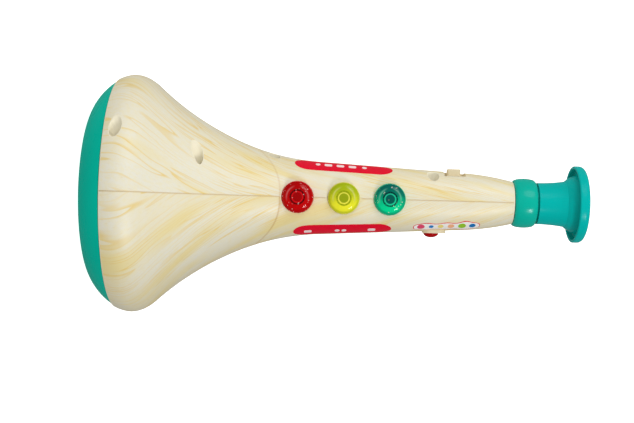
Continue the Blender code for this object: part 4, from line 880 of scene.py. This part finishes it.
def make_rim():
    """Rim and funnel: the lip's quarter superellipse, a flat ring to stand on, an elliptic funnel up to the
    throat, back down the inside of the wall and up to a skirt inside the body."""
    throat, throat_z, seat = 21 * MM, 32 * MM, 28 * MM
    funnel = LIP_REST_INNER - throat
    skirt = flare_radius(SHELL_LOW) - WALL - GAP
    start = math.asin(((LIP_ROUND - RIM_HEIGHT) / LIP_ROUND) ** (RIM_POWER / 2))
    inner = LIP_ROUND - WALL
    end = math.acos(((skirt - 1.5 * MM - BELL_RADIUS + LIP_ROUND) / inner) ** (RIM_POWER / 2))
    lip = rim_lip(LIP_ROUND, start, math.pi / 2, 48)
    edge = filleted([(lip[0][0] - 4 * MM, RIM_HEIGHT, 0), (*lip[0], 0.3 * MM), (*lip[1], 0)])[1:-1]
    profile = np.concatenate([
        edge, lip[2:], arc((LIP_REST_INNER, throat_z), (funnel, throat_z), -90, -180, 40),
        [(throat, throat_z + WALL), (seat, throat_z + WALL), (seat, throat_z)],
        arc((LIP_REST_INNER, throat_z), (funnel - WALL, throat_z - WALL), -180, -90, 24),
        rim_lip(inner, math.pi / 2, end, 16),
        [(skirt - 1.5 * MM, RIM_HEIGHT + 2 * MM), (skirt, RIM_HEIGHT + 2 * MM), (skirt, RIM_HEIGHT)],
    ])
    fit(turned("bell_rim_shell", profile, TEAL, 160), "body", "teal_plastic", "bell_rim")


def make_grille():
    """Disc with rings of round holes, each ring turned on from the last."""
    low, high = 34.7 * MM, 36.5 * MM
    bend = 0.25 * MM
    edge = filleted([(0, low, 0), (28 * MM, low, bend), (28 * MM, high, bend), (0, high, 0)])
    grille = turned("speaker_grille_disc", edge, TEAL, closed=False)
    hole = circle_outline(2.2 * MM, 32)(0.0)
    holes = []
    for ring in range(3):
        count = max(1, 6 * ring)
        for i in range(count):
            turn = 2 * math.pi * (i + 0.3 * ring) / count
            flat = hole + 7 * MM * ring * np.array([math.cos(turn), math.sin(turn)])
            holes.append(column(f"grille_hole_{ring}_{i}", flat, (low - 1 * MM, high + 1 * MM), TEAL))
    fit(shape_with(grille, holes), "body", "teal_plastic", "speaker_grille")


def make_collar():
    """Barrel-shaped ring: an elliptic bulge between two edges, with small bevels and a faint mould ridge."""
    middle = (COLLAR_LOW + COLLAR_HIGH) / 2
    half = (COLLAR_HIGH - COLLAR_LOW) / 2
    bulge = arc((COLLAR_EDGE, middle), (COLLAR_CROWN - COLLAR_EDGE, half - 0.35 * MM), -90, 90, 36)
    bulge[:, 0] += 0.05 * MM * np.exp(-(((bulge[:, 1] - middle + 4.2 * MM) / (0.25 * MM)) ** 2))
    bore = SPIGOT_RADIUS + GAP
    inset, bevel, rise = COLLAR_EDGE - 0.35 * MM, COLLAR_EDGE - 0.1 * MM, 0.1 * MM
    profile = np.concatenate([
        [(bore, COLLAR_LOW), (inset, COLLAR_LOW), (bevel, COLLAR_LOW + rise)], bulge,
        [(bevel, COLLAR_HIGH - rise), (inset, COLLAR_HIGH), (bore, COLLAR_HIGH)],
    ])
    fit(turned("neck_collar", profile, COLLAR_TEAL), "body", "green_teal_plastic", "collar")


def make_mouthpiece():
    """Tube that flares by a quarter ellipse into a flange, whose edge is rolled back over a groove, with an
    elliptic cup, and the sleeve that leads the breath on."""
    groove_inner = FLANGE_RADIUS - FLANGE_WALL - GROOVE_WIDTH
    back = MOUTH_END - FLANGE_WIDTH - 0.4 * MM
    groove_top = MOUTH_END - FLANGE_WIDTH + GROOVE_DEPTH
    tube_low = MOUTH_LOW + MOUTH_STEP
    flare_size = (groove_inner - MOUTH_TUBE_RADIUS, groove_top - tube_low)
    flare = arc((groove_inner, tube_low), flare_size, 179, 94, 40)
    lip = filleted([
        (groove_inner + 0.8 * MM, groove_top, 0), (FLANGE_RADIUS - FLANGE_WALL, groove_top, 0.9 * MM),
        (FLANGE_RADIUS - FLANGE_WALL, back, 0.85 * MM), (FLANGE_RADIUS, back, 0.9 * MM),
        (FLANGE_RADIUS, MOUTH_END, FLANGE_ROUND + 0.6 * MM), (CUP_RADIUS + 1.4 * MM, MOUTH_END, 0),
    ], 10)
    cup = arc((SPIGOT_BORE, MOUTH_END), (CUP_RADIUS - SPIGOT_BORE, CUP_DEPTH), -4, -90, 36)
    foot = filleted([(SPIGOT_BORE, MOUTH_LOW, 0.2 * MM), (MOUTH_STEP_RADIUS, MOUTH_LOW, 0.2 * MM),
                     (MOUTH_STEP_RADIUS, tube_low, 0.15 * MM), (MOUTH_TUBE_RADIUS, tube_low, 0.2 * MM),
                     (*flare[0], 0)])[:-1]
    cup_edge = [(CUP_RADIUS + 0.6 * MM, MOUTH_END - 0.12 * MM)]
    profile = np.concatenate([foot, flare, lip, cup_edge, cup])
    fit(turned("mouthpiece_cup", profile, MOUTH_TEAL), "body", "blue_teal_plastic", "mouthpiece")
    low, high, bore, outside = MOUTH_LOW - 13 * MM, MOUTH_LOW + 12 * MM, 4 * MM, 7.3 * MM
    sleeve = filleted([(bore, low, 0.3 * MM), (outside, low, 0.4 * MM), (outside, high, 0.4 * MM),
                       (bore, high, 0.6 * MM)])
    fit(turned("mouthpiece_sleeve", sleeve, MOUTH_TEAL, 64), "body", "blue_teal_plastic", "breath_tube")


# Buttons

def facing_front(z):
    """Turns a shape's own z axis towards -Y, at a height on the body."""
    return Matrix.Translation((0, 0, z)) @ Matrix.Rotation(math.pi / 2, 4, "X")


def make_button(colour):
    """Push button: a superellipse dome on a straight skirt with a ledge, hollow, with a tubular stem."""
    z = BUTTON_Z[colour]
    node_low, node_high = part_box(f"{colour}_button")
    top, stem_end = -node_low[1], -node_high[1]
    t = np.linspace(np.pi / 2, 0, 28)
    drop = DOME_HEIGHT * (1 - np.sin(t) ** (2 / DOME_POWER))
    dome = np.stack([BUTTON_RADIUS * np.cos(t) ** (2 / DOME_POWER), top - drop], -1)
    dome[0] = (0, top)
    turns = np.linspace(0, 2 * np.pi, 24)
    lowest = reach(LEDGE_RADIUS * np.cos(turns), z + LEDGE_RADIUS * np.sin(turns), "front").min()
    ledge_top = float(lowest) - WALL - GAP - 0.4 * MM
    ledge_low = ledge_top - 1.4 * MM
    under = top - 2.9 * MM
    well = top - 1.9 * MM
    inner = BUTTON_RADIUS - 1.6 * MM
    bend = 0.2 * MM
    body = filleted([
        (BUTTON_RADIUS, ledge_top, 0), (LEDGE_RADIUS, ledge_top, bend), (LEDGE_RADIUS, ledge_low, bend),
        (inner, ledge_low, bend), (inner, under, 0.9 * MM), (STEM_RADIUS, under, 0.5 * MM),
        (STEM_RADIUS, stem_end, bend), (STEM_BORE, stem_end, bend), (STEM_BORE, well, 0.3 * MM), (0, well, 0),
    ], 5)
    profile = np.concatenate([dome, body])
    button = turned(f"{colour}_push_button", profile, BUTTON_TINTS[colour], 96, False, facing_front(z))
    fit(button, f"{colour}_key", f"{colour}_clear_plastic", f"{colour}_button")
    make_spring(colour, BOARD_FRONT + GAP, under - GAP)


def make_spring(colour, low, high):
    """Return spring: a helix of even rise, swept by a round wire."""
    t = np.linspace(0, 1, SPRING_COILS * 28 + 1)
    rise = low + SPRING_WIRE / 2 + (high - low - SPRING_WIRE) * t
    turn = 2 * np.pi * SPRING_COILS * t
    path = np.stack([SPRING_RADIUS * np.cos(turn), SPRING_RADIUS * np.sin(turn), rise], -1)
    along = np.gradient(path, axis=0)
    along /= np.linalg.norm(along, axis=1, keepdims=True)
    out = np.stack([np.cos(turn), np.sin(turn), np.zeros_like(turn)], -1)
    side = np.cross(along, out)
    wire = np.linspace(0, 2 * np.pi, 12, endpoint=False)[:, None]
    rings = path[:, None] + SPRING_WIRE / 2 * (np.cos(wire) * out[:, None] + np.sin(wire) * side[:, None])
    rings = moved(rings, facing_front(BUTTON_Z[colour]))
    spring = stacked(f"{colour}_coil_spring", rings, STEEL, math.radians(60))
    fit(spring, "body", "steel", f"{colour}_spring")
    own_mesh(spring)


def make_side_button():
    """Low elliptic dome on a straight skirt with a ledge and a nub."""
    low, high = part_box("side_button")
    face = skin(SIDE_Z, "right") + PLINTH_RISE
    dome = arc((0, face), (SIDE_RADIUS, high[0] - face), 90, 0, 24)
    dome[0, 0] = 0
    nub, ledge_low = low[0], low[0] + 1.0 * MM
    ledge = ledge_low + 1.2 * MM
    rest = filleted([(SIDE_RADIUS, ledge, 0), (5.2 * MM, ledge, 0.15 * MM), (5.2 * MM, ledge_low, 0.15 * MM),
                     (1.6 * MM, ledge_low, 0.15 * MM), (1.6 * MM, nub, 0.15 * MM), (0, nub, 0)], 4)
    place = Matrix.Translation((0, 0, SIDE_Z)) @ Matrix.Rotation(math.pi / 2, 4, "Y")
    button = turned("red_side_button", np.concatenate([dome, rest]), SIDE_RED, 72, False, place)
    fit(button, "side_key", "red_plastic", "side_button")


def make_knob():
    """Slide knob: a rounded block whose rings shrink by a quarter round at the top, on a narrower stem."""
    low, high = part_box("switch_knob")
    top, stem_end = -low[0], -high[0]
    floor = skin(SWITCH_Z, "left") - SWITCH_DEPTH + GAP
    outline, stem = block_outline(6.6 * MM, 7.7 * MM, 1.1 * MM), block_outline(3.4 * MM, 4.4 * MM, 0.4 * MM)
    levels = [(stem, 0.0, stem_end), (stem, 0.0, floor), (outline, 0.0, floor),
              *((outline, grow, out) for grow, out in rounded_top(0.7 * MM, top, 7))]
    rings = [ring_at(shape(grow), out, SWITCH_Z, "left") for shape, grow, out in levels]
    fit(stacked("slide_knob", rings, KNOB_TAN), "slide_key", "tan_plastic", "switch_knob")


# Labels

STRIP_TURN = math.radians(60.5)  # middle of a strip
STRIP_SPREAD = math.radians(14.5)  # and the turn to either edge
STRIP_LOW, STRIP_HIGH = 117.9 * MM, 174.8 * MM
STRIP_MIDDLE = (STRIP_LOW + STRIP_HIGH) / 2
STRIP_TIP = 8 * MM
STICKER_TURN = math.radians(57)
STICKER_MIDDLE = 207 * MM
MARK_SHIFT = 0.02  # turn of the marks off the middle


def strip_edge():
    """Rounded strip whose half width follows the neck's taper: arc length is turn times the radius there."""
    flat, end, half = STRIP_HIGH - STRIP_MIDDLE - STRIP_TIP, 5.4 * MM, 5.5 * MM
    edge = block_outline(2 * half, 2 * (flat + end), end, 16)(0.0)
    edge[:, 1] = np.sign(edge[:, 1]) * (flat + (np.abs(edge[:, 1]) - flat) * STRIP_TIP / end)
    edge = evenly(edge, 240)
    edge[:, 0] *= STRIP_SPREAD * body_radius(STRIP_MIDDLE + edge[:, 1], STRIP_TURN) / half
    return edge


def make_labels():
    """Plain red strip on each half, with a loose row of pale dots and bars."""
    dot, bar = circle_outline(1.4 * MM, 32)(0.0), block_outline(3.0 * MM, 4.4 * MM, 0.9 * MM, 5)(0.0)
    for name, side, row in (
        ("left", -1, ((-15, dot), (-9, bar), (-2, bar), (5, bar), (12, dot))),
        ("right", 1, ((-20, bar), (-3, dot), (1, dot), (17, bar))),
    ):
        strip = patch(f"{name}_label_strip", strip_edge(), side * STRIP_TURN, STRIP_MIDDLE, 0.02 * MM,
                      0.1 * MM, LABEL_RED, 40)
        fit(strip, "body", "red_plastic")
        turn = side * (STRIP_TURN + MARK_SHIFT)
        marks = [
            patch(f"mark_{i}", edge, turn, STRIP_MIDDLE + spot * MM, 0.1 * MM, 0.14 * MM, LABEL_PALE, 4)
            for i, (spot, edge) in enumerate(row)
        ]
        fit(joined(f"{name}_label_marks", marks), "body", "white_plastic")


STICKER_MARKS = (  # ink, place along the sticker and radius
    ("pink", (226, 72, 110), -15, 2.2), ("blue", (40, 128, 200), -9, 1.4),
    ("straw", (240, 220, 130), -3.5, 1.7), ("peach", (244, 180, 136), 2.5, 1.9),
    ("green", (150, 200, 50), 9, 2.3), ("azure", (24, 116, 186), 15, 1.9),
)


def wavy_edge(width, length):
    """Rounded strip whose half width swells and shrinks along it, most towards one end."""
    edge = evenly(block_outline(width, length, width * 0.45, 10)(0.0), 240)
    waves = 0.13 * np.cos(edge[:, 1] * 2 * np.pi / (12 * MM))
    edge[:, 0] *= 1 + waves + 0.3 * np.exp(-(((edge[:, 1] - 10 * MM) / (4 * MM)) ** 2))
    return edge


def make_sticker():
    """Small sticker beside the side button: a red-edged white strip with a row of plain coloured dots."""
    for name, width, length, low, high, film, slot in (
        ("sticker_border", 6.4, 39, 0.02, 0.07, LABEL_RED, "red_plastic"),
        ("sticker_face", 5.5, 38.2, 0.07, 0.1, LABEL_WHITE, "white_plastic"),
    ):
        edge = wavy_edge(width * MM, length * MM)
        fit(patch(name, edge, STICKER_TURN, STICKER_MIDDLE, low * MM, high * MM, film, 30), "body", slot)
    for name, colour, spot, size in STICKER_MARKS:
        ink = printed_label(f"{name}_sticker_ink", display(*colour))
        edge = circle_outline(size * MM, 36)(0.0)
        mark = patch(f"sticker_{name}_dot", edge, STICKER_TURN - MARK_SHIFT, STICKER_MIDDLE + spot * MM,
                     0.1 * MM, 0.13 * MM, ink, 5)
        fit(mark, "body", "white_plastic")


# Pieces inside, whose solids already have their shape

INSIDE = {  # finishes by what a solid's name holds, and steel for the rest
    "circuit_board": moulded("board_lacquer", display(58, 118, 70), 0.35, 0.85),
    "sound_chip": moulded("chip_resin", display(24, 24, 26), 0.3),
    "battery_tray": moulded("tray_plastic", display(228, 228, 222), 0.5),
    "battery_cell": moulded("cell_sleeve", display(58, 62, 74), 0.25, 0.8),
    "speaker_cone": moulded("cone_paper", display(36, 36, 38), 0.8, 0.7),
    "speaker_magnet": metal("magnet_ferrite", display(70, 70, 74), 0.5),
    "switch_lever": moulded("lever_plastic", display(26, 26, 28), 0.45),
    "tact_plunger": moulded("plunger_plastic", display(30, 30, 32), 0.45),
    "tact_switch": moulded("switch_plastic", display(40, 40, 42), 0.4),
    "_contact": moulded("contact_rubber", display(28, 28, 30), 0.75),
    "_led": clear_plastic("lamp_resin", (0.95, 0.96, 0.96, 1)),
}


def finish_inside():
    """Gives a finish to every solid that no piece stands for."""
    for name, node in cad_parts.items():
        if not node.hide_render:
            node.data.materials.clear()
            node.data.materials.append(next((look for part, look in INSIDE.items() if part in name), STEEL))


# Room, lights and camera

def room_white():
    """Evenly lit white for the floor and wall of the photo room, and nothing seen from outside the room."""
    f = Finish("room_white", Base_Color=display(250, 250, 250), Roughness=1.0, Emission_Color=(1, 1, 1, 1),
               Emission_Strength=1.0)
    f.give("Alpha", f.math("SUBTRACT", 1.0, f.node("NewGeometry", output="Backfacing")))
    return f.material


def make_room():
    """Pale floor that curves up far away into a dome: a radius that grows, then turns up as an ellipse."""
    floor = -0.2 * MM
    profile = np.concatenate([
        [(0, floor)], np.stack([np.geomspace(0.2, 6, 20), np.full(20, floor)], -1),
        arc((6, 6), (3, 6), -90, 0, 16), arc((0, 6), (9, 9), 0, 90, 20),
    ])
    profile[-1, 0] = 0
    room = turned("photo_room", profile, room_white(), 64, False)
    room.data.flip_normals()
    room.visible_diffuse = False
    room.visible_glossy = False
    room.visible_transmission = False
    room.visible_shadow = False


def area_light(name, place, aim, size, power):
    lamp = bpy.data.lights.new(name, "AREA")
    lamp.shape, lamp.size, lamp.energy = "DISK", size, power
    light = bpy.data.objects.new(name, lamp)
    bpy.context.collection.objects.link(light)
    turn = (Vector(place) - Vector(aim)).to_track_quat("Z", "Y")
    light.matrix_world = Matrix.Translation(place) @ turn.to_matrix().to_4x4()


SKY_LEFT, SKY_RIGHT, SKY_MIRRORED = 0.855, 0.325, 0.2  # strength from either side, and in reflections


def make_lights():
    """Soft sky that is brighter on the left, weaker where it is mirrored, and two round lamps."""
    sky = Finish("soft_sky", bpy.data.worlds, "Background", Color=(1.0, 0.99, 0.97, 1.0))
    way = sky.node("SeparateXYZ", Vector=sky.node("TexCoord", output="Generated"))
    slope = sky.node("MapRange", Value=way, From_Min=-1.0, To_Min=SKY_LEFT, To_Max=SKY_RIGHT)
    mirrored = sky.node("LightPath", output="Is Glossy Ray")
    sky.give("Strength", sky.node("MapRange", Value=mirrored, To_Min=slope, To_Max=SKY_MIRRORED))
    bpy.context.scene.world = sky.material
    aim = (0, 0, 0.13)
    area_light("upper_light", (-0.91, -0.91, 0.7), aim, 0.8, 4.2)
    area_light("lower_light", (0.74, -1.01, 0.7), aim, 0.32, 6.0)


def make_camera():
    """Square to the axis on the button side, rolled so that the mouthpiece points to the right."""
    data = bpy.data.cameras.new("photo_camera")
    data.sensor_width = 36
    data.lens = data.sensor_width * 1095 / 634  # focal length and width of the picture, in its pixels
    data.clip_start, data.clip_end = 0.01, 50
    camera = bpy.data.objects.new("photo_camera", data)
    bpy.context.collection.objects.link(camera)
    tilt = math.radians(1.47)
    right = (-math.sin(tilt), 0, math.cos(tilt))
    up = (-math.cos(tilt), 0, -math.sin(tilt))
    axes = Matrix((right, up, (0, -1, 0))).transposed().to_4x4()
    camera.matrix_world = Matrix.Translation((8 * MM, -647 * MM, 131.4 * MM)) @ axes
    bpy.context.scene.camera = camera
    bpy.context.scene.view_settings.view_transform = "Standard"


make_left_shell()
make_right_shell()
make_door()
make_screws()
make_rim()
make_grille()
make_collar()
make_mouthpiece()
for tint in BUTTON_Z:
    make_button(tint)
make_side_button()
make_knob()
make_labels()
make_sticker()
finish_inside()
make_room()
make_lights()
make_camera()
